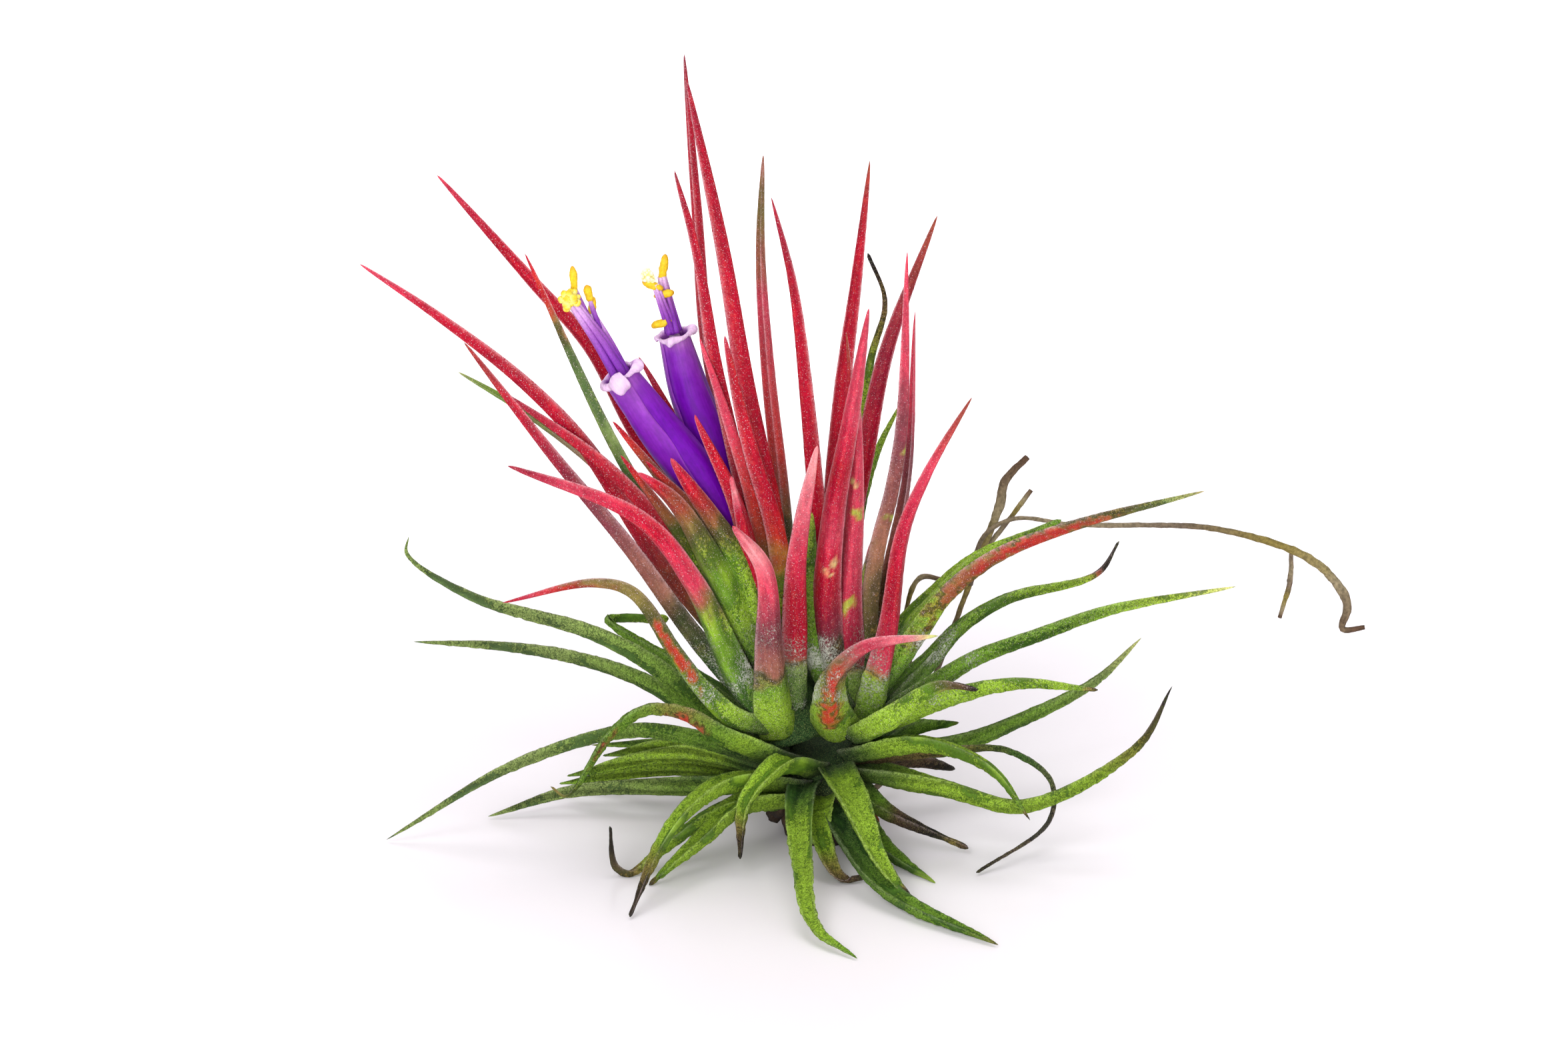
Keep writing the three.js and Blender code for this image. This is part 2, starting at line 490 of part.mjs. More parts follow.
function stamens({ tube, filaments, anthers, stigma }) {
  const frame = tubeFrame(tube);
  const inner = frame.radius - TUBE_WALL - CLEARANCE;
  const root = strand(
    [-MOUTH_DEPTH + CLEARANCE, 0, 1.4].map((s) => frame.end.clone().addScaledVector(frame.along, s)),
    [inner, inner, inner * 0.8],
    8,
    1,
  );
  const threads = filaments.map(([radius, ...path]) =>
    strand(path.map(sight), path.map((_, i) => radius * (1 - FILAMENT_TAPER * i)), 5, 1),
  );
  const tips = anthers.map(([radius, from, to]) => bead(sight(from), sight(to), radius, 5));
  const centre = sight(stigma[1]);
  const ball = bead(centre, centre.clone().add(new THREE.Vector3(0, 0, 0.05)), stigma[0], 8);
  return largest(wasm.Manifold.union([root, ...threads, ...tips, ball]));
}

// The woody stem, and the roots that leave it.
function rootsOf(extra) {
  return Object.values(ROOTS).map(([radius, ...path]) =>
    strand(path.map(sight), path.map((_, i) => radius + extra - ROOT_TAPER * (i / path.length)), STRAND_SIDES),
  );
}
function stemOf(extra) {
  return coreOf(
    [[0, 0, 0, STEM_FOOT_RADIUS], [0, 0, STEM_HEIGHT + extra, STEM_TOP_RADIUS]],
    (p) => new THREE.Vector3(...p),
    extra,
  );
}
const stemRoom = wasm.Manifold.union([stemOf(CLEARANCE), ...rootsOf(CLEARANCE)]);
const stemWithRoots = largest(wasm.Manifold.union([stemOf(0), ...rootsOf(0)]));

const flowerRoom = Object.values(FLOWERS).map(({ tube }) =>
  strand(tube.map(sight), tube.map((row) => row[3] + CLEARANCE), ROUND_SIDES, 1),
);
const floweringRoom = whorl("flowering", FLOWERING_LEAVES, coreOf(CORES.flowering, sight, CLEARANCE), CLEARANCE);
const sideRoom = whorl("side", SIDE_LEAVES, coreOf(CORES.side, sight, CLEARANCE), CLEARANCE);

// Each head keeps clear of what is named after it.
function cutHead(grown, ...rooms) {
  return largest(grown.subtract(wasm.Manifold.union(rooms)));
}
const flowering = cutHead(
  whorl("flowering", FLOWERING_LEAVES, coreOf(CORES.flowering, sight)), ...flowerRoom, stemRoom,
);
const side = cutHead(
  whorl("side", SIDE_LEAVES, coreOf(CORES.side, sight)), floweringRoom, ...flowerRoom, stemRoom,
);
const lower = cutHead(
  whorl("lower", LOWER_LEAVES, coreOf(LOWER_CORE, (p) => new THREE.Vector3(...p))), floweringRoom, sideRoom, stemRoom,
);

const part = new THREE.Group();
part.name = "tillandsia_ionantha_rubra";

function place(name, made, colour) {
  const { numProp, vertProperties, triVerts } = made.getMesh();
  const positions = new Float32Array((vertProperties.length / numProp) * 3);
  for (let i = 0; i < positions.length / 3; i++) {
    positions.set(vertProperties.subarray(i * numProp, i * numProp + 3), i * 3);
  }
  const geometry = new THREE.BufferGeometry();
  geometry.setAttribute("position", new THREE.BufferAttribute(positions, 3));
  geometry.setIndex(new THREE.BufferAttribute(triVerts, 1));
  const mesh = new THREE.Mesh(geometry, new THREE.MeshStandardMaterial({ color: colour, roughness: 0.7 }));
  mesh.name = name;
  part.add(mesh);
}

place("stem_with_roots", stemWithRoots, 0x5c4a3a);
place("lower_green_leaves", lower, 0x76923c);
place("flowering_head_leaves", flowering, 0xc23a55);
place("side_head_leaves", side, 0xb8606a);
for (const [name, flower] of Object.entries(FLOWERS)) {
  place(name + "_flower_petals", petals(flower), 0x7a3cb8);
  place(name + "_flower_stamens", stamens(flower), 0xb08ad0);
}

export default part;
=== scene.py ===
"""A clump of Tillandsia ionantha rubra in flower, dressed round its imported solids.

Two red heads of narrow scaly leaves stand on one short stem over a whorl of green ones.
Two violet flowers leave the taller head, and dry roots run out behind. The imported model
says how large the plant is and where it stands. Leaves, petals, stamens and roots are
surfaces carried along nearly the same paths as its solids, worked out in millimetres.
"""

import logging
import math
from dataclasses import dataclass
from enum import Enum

import bpy
import numpy as np
from mathutils import Matrix


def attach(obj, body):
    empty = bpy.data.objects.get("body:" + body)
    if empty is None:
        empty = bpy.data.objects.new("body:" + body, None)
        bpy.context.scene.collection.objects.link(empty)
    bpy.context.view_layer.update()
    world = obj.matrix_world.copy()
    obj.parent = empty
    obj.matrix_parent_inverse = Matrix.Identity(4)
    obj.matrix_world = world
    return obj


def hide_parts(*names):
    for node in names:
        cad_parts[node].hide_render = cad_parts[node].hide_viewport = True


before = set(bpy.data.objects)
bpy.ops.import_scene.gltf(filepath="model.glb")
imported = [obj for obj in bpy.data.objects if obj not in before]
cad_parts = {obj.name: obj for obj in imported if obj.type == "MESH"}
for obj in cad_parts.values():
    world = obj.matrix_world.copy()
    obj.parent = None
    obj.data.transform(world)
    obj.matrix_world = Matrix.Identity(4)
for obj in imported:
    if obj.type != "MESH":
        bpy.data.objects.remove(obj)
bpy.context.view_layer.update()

log = logging.getLogger("air_plant")
Array = np.ndarray

METRE = 0.001  # a millimetre in Blender's own unit

# Sizes in millimetres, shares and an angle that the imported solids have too.
SHEATH_REACH = 8.0  # how far up a leaf its broad sheath lasts
TAPER_SHARE = 0.75  # share of its length over which a leaf narrows to its tip
FACING_SHARE = 0.7  # the place on a leaf that tells which way it stands off its head
DEPTH_SHARE = 0.62  # depth of a leaf's section for its width
DEEPEST = 1.9
CHANNEL_SHARE = 0.3  # depth of the channel for the section's depth
TWIST = math.radians(28)  # turn of the leaves' keels towards the front
BACK_WIDTHS = (1.7, 2.3)  # widths of the leaves at the back of a whorl
BACK_SHEATH = 3.4
LOWEST = 0.3  # how near the ground the middle of a back leaf comes
MOUTH_DEPTH = 3.0  # how deep a flower's mouth is
STEM_HEIGHT = 3.3
STEM_FOOT_RADIUS = 4.0
STEM_TOP_RADIUS = 4.7

# The points of the plant are given as seen from the front and from 20 degrees above:
# across, up, and how far back each one lies.
VIEW_TILT = math.radians(20)
VIEW_UP = np.array([0, math.sin(VIEW_TILT), math.cos(VIEW_TILT)])
VIEW_BACK = np.array([0, -math.cos(VIEW_TILT), math.sin(VIEW_TILT)])
AIM_ACROSS = -4.07
AIM_UP = 31.93
EYE_DISTANCE = 550.0
EYE = np.array([AIM_ACROSS, 0, 0]) + VIEW_UP * AIM_UP + VIEW_BACK * EYE_DISTANCE
FRAME_WIDTH = 162.2  # what the photograph spans at the aim
SENSOR_WIDTH = 36.0
CLIP_RANGE = (0.01, 10.0)  # how near and how far the camera sees, in metres

DENSE_STEPS = 24  # steps between two points of a curve, before it is spaced evenly
FEWEST_STEPS = 6  # steps along the shortest line
THIN_GIRTH = 3.0  # a piece thinner round than this is roughened less
RIB_GAP = 0.75

# What scatters the numbers of the noise and of the draws.
CELL_FACTORS = np.array([73856093, 19349663, 83492791])
SEED_FACTOR = 40503
MIX_FACTORS = (1274126177, 668265263)
MIX_SHIFTS = (15, 13)
LOW_BITS = 0xFFFF
DRAW_FACTOR = 1664525
DRAW_STEP = 1013904223
DRAW_RANGE = 2**32


def sight(rows: Array) -> Array:
    """Places points that are given as seen: each goes on its line of sight, at its depth.

    Args:
        rows: Points as across, up and back, in millimetres, in the first three columns.

    Returns:
        The points in the part's own frame, in millimetres.
    """
    rows = np.atleast_2d(np.asarray(rows, float))
    seen = rows[:, :1] * np.array([1.0, 0, 0]) + rows[:, 1:2] * VIEW_UP
    share = (rows[:, 2] - EYE[1]) / (seen[:, 1] - EYE[1])
    return EYE + (seen - EYE) * share[:, None]


def unit(vectors: Array) -> Array:
    """Scales each vector to length one."""
    return vectors / np.maximum(np.linalg.norm(vectors, axis=-1, keepdims=True), 1e-9)


def curve_through(points: Array, per_span: int) -> Array:
    """Runs a smooth curve through points.

    Each span is a cubic whose end slopes come from the points on both sides, spaced by
    the square root of their distance. The first and last spans use a reflected point.

    Args:
        points: The points, one a row.
        per_span: How many steps each span is cut into.

    Returns:
        Points on the curve, with the last of the given points at its end.
    """
    points = np.asarray(points, float)
    held = np.vstack([2 * points[0] - points[1], points, 2 * points[-1] - points[-2]])
    before, start, end, after = held[:-3], held[1:-2], held[2:-1], held[3:]
    gaps = np.sqrt(np.linalg.norm(np.diff(held, axis=0), axis=1))[:, None]
    first, middle, last = gaps[:-2], gaps[1:-1], gaps[2:]
    rise = (start - before) / first - (end - before) / (first + middle) + (end - start) / middle
    fall = (end - start) / middle - (after - start) / (middle + last) + (after - end) / last
    rise, fall = rise * middle, fall * middle
    step = (np.arange(per_span) / per_span)[None, :, None]
    start, end, rise, fall = (a[:, None, :] for a in (start, end, rise, fall))
    cubic = 2 * start - 2 * end + rise + fall
    square = 3 * end - 3 * start - 2 * rise - fall
    spans = start + rise * step + square * step**2 + cubic * step**3
    return np.vstack([spans.reshape(-1, points.shape[1]), points[-1]])


def spaced(points: Array, gap: float) -> Array:
    """Spaces points evenly along a line.

    Args:
        points: The line's points, whose first three columns are a place.
        gap: The distance between new points, about.

    Returns:
        The new points, from the first of the old ones to the last.
    """
    steps = np.linalg.norm(np.diff(points[:, :3], axis=0), axis=1)
    runs = np.concatenate([[0], np.cumsum(steps)])
    places = np.linspace(0, runs[-1], max(int(runs[-1] / gap), FEWEST_STEPS) + 1)
    return np.stack([np.interp(places, runs, column) for column in points.T], axis=1)


def lattice(cells: Array, seed: int) -> Array:
    """Gives each whole-number cell a repeatable number from 0 to 1.

    Args:
        cells: Cells, three whole numbers each.
        seed: Picks one of many such fields.

    Returns:
        One number for each cell.
    """
    spread = cells * CELL_FACTORS
    mixed = spread[..., 0] ^ spread[..., 1] ^ spread[..., 2]
    mixed = (mixed ^ (seed * SEED_FACTOR)) * MIX_FACTORS[0]
    mixed = (mixed ^ (mixed >> MIX_SHIFTS[0])) * MIX_FACTORS[1]
    return ((mixed ^ (mixed >> MIX_SHIFTS[1])) & LOW_BITS) / LOW_BITS


def grain(points: Array, size: float, seed: int) -> Array:
    """Works out smooth noise: each cell corner has a number, blended across the cell.

    Args:
        points: Places in millimetres.
        size: The width of a cell.
        seed: Picks one of many such fields.

    Returns:
        Numbers from -1 to 1, one for each place.
    """
    scaled = points / size
    low = np.floor(scaled).astype(np.int64)
    part = scaled - low
    part = part * part * (3 - 2 * part)
    total = np.zeros(points.shape[:-1])
    for corner in np.ndindex(2, 2, 2):
        weight = np.prod(np.where(np.array(corner) == 1, part, 1 - part), axis=-1)
        total += weight * lattice(low + np.array(corner), seed)
    return total * 2 - 1


def layered_grain(points: Array, size: float, layers: int, seed: int) -> Array:
    """Adds finer and fainter layers of grain, each at half the size and strength."""
    parts = [grain(points, size / 2**k, seed + k) * 0.5**k for k in range(layers)]
    return sum(parts) / sum(0.5**k for k in range(layers))


@dataclass(frozen=True)
class Grain:
    """One kind of noise: its bumps' size, layers and strength, and what sets its seed apart."""

    size: float
    layers: int
    strength: float
    stride: int

    def at(self, points: Array, seed: int) -> Array:
        """Works out the noise at points, from minus its strength to plus its strength."""
        return layered_grain(points, self.size, self.layers, seed + self.stride) * self.strength


def linear(colour: Array) -> Array:
    """Turns screen colours, 0 to 255, into amounts of light, 0 to 1, by the screen's curve."""
    share = np.asarray(colour, float) / 255
    return np.where(share <= 0.04045, share / 12.92, ((share + 0.055) / 1.055) ** 2.4)


class Pigment(Enum):
    """The plant's colours, as seen on a screen."""

    SILVER = (204, 206, 192)
    SAGE = (124, 144, 78)
    # Painted shade: a dark green at the roots of many leaves and in the cores, where the leaves crowd
    # together.
    PAINTED_SHADE_GREEN = (42, 68, 34)
    DARK_GREEN = (54, 88, 34)
    LEAF_GREEN = (98, 136, 38)
    BRIGHT_GREEN = (132, 166, 44)
    LIME = (154, 180, 58)
    PALE_LIME = (204, 204, 124)
    OLIVE = (120, 106, 52)
    RUST = (140, 60, 42)
    BRICK = (176, 34, 30)
    CRIMSON = (162, 2, 36)
    SCARLET = (172, 6, 34)
    ROSE = (190, 52, 76)
    BLUSH = (210, 126, 130)
    WINE = (140, 22, 48)
    MAUVE = (112, 52, 60)
    DUSTY = (146, 92, 76)
    STRAW = (186, 158, 104)
    BARK = (78, 58, 44)
    DRY_BLACK = (40, 34, 30)
    NODE = (150, 82, 40)
    ROOT = (132, 120, 94)
    ROOT_DARK = (98, 84, 70)
    VIOLET = (97, 3, 149)
    PURPLE = (116, 38, 158)
    LILAC = (146, 80, 168)
    PALE_LIP = (214, 182, 216)
    POLLEN = (220, 182, 14)
    OCHRE = (196, 146, 8)
    STIGMA = (232, 220, 126)
    DOWN = (240, 232, 208)
    FROST = (248, 222, 228)


P = Pigment


class Coat(Enum):
    """How a leaf is coloured from root to tip: stops of share of its length and colour. Many begin with
    painted shade at the root.
    """

    CRIMSON = (
        (0, P.PAINTED_SHADE_GREEN), (0.1, P.SAGE), (0.24, P.RUST), (0.36, P.CRIMSON), (0.85, P.CRIMSON),
        (1, P.ROSE),
    )
    SCARLET = (
        (0, P.PAINTED_SHADE_GREEN), (0.1, P.SAGE), (0.22, P.BRICK), (0.34, P.SCARLET), (0.8, P.CRIMSON),
        (1, P.ROSE),
    )
    TALL = (
        (0, P.LIME), (0.1, P.BRIGHT_GREEN), (0.16, P.OLIVE), (0.24, P.BRICK), (0.34, P.CRIMSON),
        (0.9, P.CRIMSON), (1, P.WINE),
    )
    PALE_TIP = ((0, P.PAINTED_SHADE_GREEN), (0.4, P.RUST), (0.75, P.OLIVE), (0.88, P.LIME), (1, P.PALE_LIME))
    MAUVE = (
        (0, P.PAINTED_SHADE_GREEN), (0.2, P.DARK_GREEN), (0.4, P.DUSTY), (0.55, P.MAUVE), (0.7, P.WINE),
        (0.85, P.CRIMSON), (1, P.RUST),
    )
    FRONT_RED = (
        (0, P.PAINTED_SHADE_GREEN), (0.18, P.LEAF_GREEN), (0.32, P.BRIGHT_GREEN), (0.38, P.OLIVE), (0.46, P.ROSE),
        (0.6, P.CRIMSON), (0.85, P.ROSE), (1, P.WINE),
    )
    ARCHED_RED = (
        (0, P.PAINTED_SHADE_GREEN), (0.2, P.BRIGHT_GREEN), (0.42, P.LEAF_GREEN), (0.52, P.OLIVE), (0.66, P.OLIVE),
        (0.76, P.RUST), (0.84, P.BRICK), (0.93, P.ROSE), (1, P.CRIMSON),
    )
    OLIVE_TIP = (
        (0, P.LEAF_GREEN), (0.3, P.OLIVE), (0.42, P.BRICK), (0.7, P.ROSE), (0.88, P.OLIVE), (1, P.DUSTY),
    )
    SALMON = ((0, P.LIME), (0.3, P.OLIVE), (0.5, P.BRICK), (0.75, P.ROSE), (1, P.ROSE))
    BRACT = (
        (0, P.DARK_GREEN), (0.3, P.BRIGHT_GREEN), (0.54, P.BRIGHT_GREEN), (0.66, P.OLIVE), (0.76, P.RUST),
        (0.86, P.SCARLET), (1, P.ROSE),
    )
    BRACT_ORANGE = (
        (0, P.DARK_GREEN), (0.35, P.BRIGHT_GREEN), (0.54, P.BRIGHT_GREEN), (0.68, P.OLIVE), (0.82, P.RUST),
        (0.92, P.SCARLET), (1, P.ROSE),
    )
    BRACT_BROWN = (
        (0, P.DARK_GREEN), (0.3, P.BRIGHT_GREEN), (0.58, P.BRIGHT_GREEN), (0.7, P.OLIVE), (0.82, P.RUST),
        (0.9, P.BRICK), (1, P.CRIMSON),
    )
    BRACT_RED = (
        (0, P.LIME), (0.3, P.LIME), (0.42, P.BRICK), (0.55, P.CRIMSON), (0.9, P.SCARLET), (1, P.ROSE),
    )
    BLUNT_PINK = (
        (0, P.DARK_GREEN), (0.35, P.ROSE), (0.5, P.CRIMSON), (0.82, P.CRIMSON), (0.93, P.BLUSH),
        (1, P.ROSE),
    )
    FRONT_SHEATH = (
        (0, P.BRIGHT_GREEN), (0.22, P.BRIGHT_GREEN), (0.3, P.LEAF_GREEN), (0.38, P.DUSTY), (0.52, P.MAUVE),
        (0.7, P.ROSE), (0.88, P.BLUSH), (1, P.ROSE),
    )
    GREY_CHANNEL = (
        (0, P.PAINTED_SHADE_GREEN), (0.25, P.LEAF_GREEN), (0.6, P.SAGE), (0.75, P.SAGE), (0.84, P.OLIVE),
        (0.92, P.BRICK), (1, P.CRIMSON),
    )
    SPEARHEAD = (
        (0, P.DARK_GREEN), (0.18, P.SAGE), (0.26, P.CRIMSON), (0.45, P.CRIMSON), (0.65, P.ROSE),
        (0.9, P.BLUSH), (1, P.BLUSH),
    )
    SIDE_TALL = (
        (0, P.DARK_GREEN), (0.1, P.SAGE), (0.18, P.WINE), (0.4, P.CRIMSON), (0.85, P.CRIMSON),
        (1, P.RUST),
    )
    SIDE_DARK = ((0, P.DARK_GREEN), (0.15, P.WINE), (0.4, P.CRIMSON), (0.7, P.WINE), (1, P.RUST))
    SIDE_FRONT = (
        (0, P.DARK_GREEN), (0.1, P.LEAF_GREEN), (0.16, P.MAUVE), (0.24, P.WINE), (0.34, P.CRIMSON),
        (0.46, P.ROSE), (0.6, P.CRIMSON), (0.75, P.ROSE), (1, P.ROSE),
    )
    BLOTCHED = ((0, P.LEAF_GREEN), (0.14, P.SAGE), (0.2, P.WINE), (0.5, P.ROSE), (0.9, P.ROSE), (1, P.BLUSH))
    SIDE_MAUVE = (
        (0, P.DARK_GREEN), (0.16, P.OLIVE), (0.4, P.DUSTY), (0.6, P.MAUVE), (0.8, P.ROSE), (1, P.ROSE),
    )
    SWAYING = (
        (0, P.LEAF_GREEN), (0.12, P.BRIGHT_GREEN), (0.19, P.ROSE), (0.4, P.CRIMSON), (0.75, P.ROSE),
        (1, P.RUST),
    )
    LEFT_TALL = ((0, P.DARK_GREEN), (0.15, P.LEAF_GREEN), (0.28, P.CRIMSON), (0.8, P.CRIMSON), (1, P.WINE))
    STRIPED = (
        (0, P.BRIGHT_GREEN), (0.4, P.BRIGHT_GREEN), (0.48, P.OLIVE), (0.58, P.DUSTY), (0.7, P.ROSE),
        (0.88, P.BLUSH), (1, P.PALE_LIME),
    )
    PLAIN_GREEN = ((0, P.DARK_GREEN), (0.3, P.LEAF_GREEN), (0.8, P.LEAF_GREEN), (1, P.LIME))
    BLACK_THREAD = (
        (0, P.PAINTED_SHADE_GREEN), (0.3, P.LEAF_GREEN), (0.78, P.BRIGHT_GREEN), (0.85, P.LIME), (0.88, P.RUST),
        (0.9, P.BARK), (1, P.DRY_BLACK),
    )
    PALE_GREEN = (
        (0, P.PAINTED_SHADE_GREEN), (0.25, P.LEAF_GREEN), (0.6, P.LEAF_GREEN), (0.85, P.LIME),
        (1, P.PALE_LIME),
    )
    RED_ARCH = (
        (0, P.PAINTED_SHADE_GREEN), (0.16, P.LEAF_GREEN), (0.3, P.BRIGHT_GREEN), (0.6, P.OLIVE), (0.84, P.OLIVE),
        (0.93, P.SAGE), (1, P.STRAW),
    )
    MOSS = (
        (0, P.PAINTED_SHADE_GREEN), (0.18, P.DARK_GREEN), (0.32, P.BRIGHT_GREEN), (0.8, P.BRIGHT_GREEN),
        (1, P.LEAF_GREEN),
    )
    GREY_GREEN = ((0, P.PAINTED_SHADE_GREEN), (0.25, P.LEAF_GREEN), (0.6, P.SAGE), (1, P.SAGE))
    RED_PATCH = (
        (0, P.PAINTED_SHADE_GREEN), (0.2, P.BRIGHT_GREEN), (0.34, P.LEAF_GREEN), (0.44, P.OLIVE), (0.6, P.LEAF_GREEN),
        (0.85, P.LEAF_GREEN), (1, P.OLIVE),
    )
    LIME_TIP = (
        (0, P.PAINTED_SHADE_GREEN), (0.22, P.LEAF_GREEN), (0.6, P.LEAF_GREEN), (0.85, P.SAGE),
        (1, P.PALE_LIME),
    )
    BROWN_END = (
        (0, P.PAINTED_SHADE_GREEN), (0.2, P.BRIGHT_GREEN), (0.62, P.BRIGHT_GREEN), (0.76, P.OLIVE), (0.9, P.BARK),
        (1, P.DRY_BLACK),
    )
    DARK_END = (
        (0, P.PAINTED_SHADE_GREEN), (0.2, P.BRIGHT_GREEN), (0.7, P.BRIGHT_GREEN), (0.84, P.OLIVE), (0.92, P.BARK),
        (1, P.DRY_BLACK),
    )
    GREEN_BLUNT = (
        (0, P.PAINTED_SHADE_GREEN), (0.2, P.BRIGHT_GREEN), (0.86, P.BRIGHT_GREEN), (0.93, P.LEAF_GREEN),
        (0.96, P.OLIVE), (1, P.DRY_BLACK),
    )
    SHADED = (
        (0, P.PAINTED_SHADE_GREEN), (0.25, P.DARK_GREEN), (0.6, P.LEAF_GREEN), (0.9, P.LEAF_GREEN), (1, P.OLIVE),
    )
    WITHERED = (
        (0, P.PAINTED_SHADE_GREEN), (0.3, P.LEAF_GREEN), (0.5, P.BARK), (0.75, P.DRY_BLACK), (0.9, P.OLIVE),
        (1, P.BARK),
    )
    DRY_THREAD = ((0, P.BARK), (0.3, P.OLIVE), (0.5, P.DARK_GREEN), (0.7, P.ROOT_DARK), (1, P.DRY_BLACK))
    DEAD = ((0, P.DRY_BLACK), (0.6, P.BARK), (1, P.DRY_BLACK))
    OLD_NODE = ((0, P.BARK), (0.6, P.NODE), (1, P.RUST))


@dataclass(frozen=True)
class Leaf:
    """One leaf: blade and sheath widths, its coat, and its points as seen.

    A blotch is a share of the leaf's length with its reach, a place across the leaf from
    -1 to 1 with its reach, and a colour. The blunt width is what is left at a dry or
    broken tip, and ribs is how pleated the leaf is.
    """

    wide: float
    sheath: float
    coat: Coat
    path: tuple
    blotches: tuple = ()
    blunt: float = 0.1
    ribs: float = 0.15


FLOWERING_LEAVES = {
    "far_left": Leaf(2.7, 3.6, Coat.CRIMSON, (
        (-5, 14, 0.5), (-17, 27.8, 0), (-25, 40, -1.2), (-31, 46.3, -2.6), (-40, 53.3, -5), (-48, 58.7, -6.5),
    )),
    "second": Leaf(2.57, 3.8, Coat.SCARLET, (
        (-5, 13.5, -2), (-14.5, 28.3, -5), (-22.5, 37.5, -4), (-33, 45.3, 0),
    )),
    "pale_tip": Leaf(2.2, 3.6, Coat.PALE_TIP, (
        (-5, 13, 2.5), (-15, 26.5, 4.5), (-22, 36.2, 7), (-30, 42.7, 10), (-37.8, 47.5, 12),
    )),
    "mauve": Leaf(2.46, 4, Coat.MAUVE, (
        (-5, 11, -3), (-13, 19.5, -5), (-20, 29, -5), (-28, 38.7, -3.5), (-37.2, 50.6, -2),
    )),
    "front_red": Leaf(2.81, 4.4, Coat.FRONT_RED, (
        (-5, 11.5, -4.5), (-8, 14, -6.5), (-13.5, 25.3, -8.5), (-19, 32, -10), (-32.7, 37.8, -13),
    )),
    "arched_red": Leaf(2.11, 3.6, Coat.ARCHED_RED, (
        (-4.6, 10.8, -3.6), (-9.5, 11.6, -6.6), (-12.8, 14.6, -7.4), (-15.5, 18.2, -8), (-20, 24.6, -8.5),
        (-24, 25.6, -8.5), (-33.2, 23.6, -8),
    ), ((0.42, 0.14, 0.5, 0.5, P.BRICK), (0.7, 0.24, -0.9, 0.5, P.CRIMSON), (0.76, 0.12, 0.8, 0.5, P.OLIVE))),
    "tallest": Leaf(2.6, 3.6, Coat.TALL, (
        (-4, 16, 1.5), (-7.5, 33, 3), (-11.7, 49, 4.5), (-13.1, 65, 6), (-14.4, 80.4, 8),
    )),
    "second_tall": Leaf(3, 3.6, Coat.TALL, (
        (-3.5, 16.5, 0), (-4.8, 31, 0.5), (-7.8, 46, 0.5), (-10.4, 61, -0.5), (-14.1, 77.7, -2),
    )),
    "third_tall": Leaf(2.34, 3.4, Coat.TALL, (
        (-4.2, 16.5, 0), (-7.5, 33, -0.5), (-10.9, 48, -1), (-13, 60, -3), (-15.4, 68.4, -5),
    )),
    "light_edge": Leaf(2.81, 3.6, Coat.BRACT_RED, (
        (-3.3, 15, -1.5), (-4.4, 30, -2.2), (-7.4, 40, -3.2), (-10.2, 51.3, -5),
    )),
    "salmon": Leaf(2.22, 3.2, Coat.SALMON, (
        (-4.3, 17, -1), (-6.7, 32.5, -1.8), (-9.7, 42.5, -1.8), (-12.8, 51.1, -1.8),
    )),
    "behind_flower": Leaf(1.87, 3.2, Coat.SCARLET, (
        (-5.5, 18, 1.5), (-11.5, 35, 5), (-17.2, 45.9, 7), (-19.1, 49.1, 8),
    )),
    "olive_tip": Leaf(2.5, 3.4, Coat.OLIVE_TIP, (
        (-2.8, 15, 2.5), (-4, 33, 6), (-5.6, 48, 10), (-6.4, 60, 12.5), (-6.2, 70, 14),
    )),
    "bract_right": Leaf(2.57, 3, Coat.BRACT_RED, ((-5, 17, -2.5), (-8.5, 33, -4), (-13.3, 43.1, -4.4))),
    "blunt_pink": Leaf(2.34, 3.2, Coat.BLUNT_PINK, (
        (-4.2, 15, -3.5), (-7, 26.5, -5.8), (-9.5, 36.7, -6.5),
    ), blunt=0.6),
    "bract_front": Leaf(3.28, 3.4, Coat.BRACT, ((-5, 16, -3.5), (-8.6, 27.5, -6.2), (-15.8, 38.6, -7.2))),
    "front_sheath": Leaf(3.4, 5, Coat.FRONT_SHEATH, (
        (-4, 10.4, -3.2), (-4.9, 13.4, -7), (-5.3, 19, -8.8), (-6, 27, -9.6), (-9.4, 31.6, -10.3),
    )),
    "bract_orange": Leaf(3.51, 3.8, Coat.BRACT_ORANGE, (
        (-5.5, 15, -4), (-10.7, 26, -7), (-15.3, 33.8, -8), (-19.2, 37.1, -8.5),
    )),
    "bract_brown": Leaf(2.34, 3.2, Coat.BRACT_BROWN, (
        (-5.5, 16.5, -3), (-11.5, 30.5, -5.8), (-18.4, 38.3, -6.5),
    )),
    "bract_left": Leaf(2.11, 3.2, Coat.BRACT_BROWN, ((-5.8, 15, -3), (-12.2, 26.5, -5.5), (-21, 38.9, -6.5))),
    "bract_far": Leaf(2.22, 3.2, Coat.BRACT_BROWN, ((-5.8, 16.5, -1.8), (-13, 31, -4), (-21.8, 42.4, -5))),
    "long_red": Leaf(2.5, 3.6, Coat.CRIMSON, (
        (-5.2, 16, 2), (-13, 31, 5), (-19.8, 41.6, 7), (-24.3, 50, 8.2), (-30.3, 56.8, 9.6), (-40, 67.9, 12),
    )),
    "grey_channel": Leaf(1.99, 3.4, Coat.GREY_CHANNEL, (
        (-6, 15, -0.5), (-15, 28.5, -1.8), (-21.8, 40, -2), (-30.9, 59.8, -3.3),
    )),
    "spearhead": Leaf(3.1, 3.2, Coat.SPEARHEAD, (
        (-2.6, 13, -3.5), (-2.5, 20, -5.2), (-2.4, 28, -6.6), (-0.6, 39.9, -9),
    )),
}

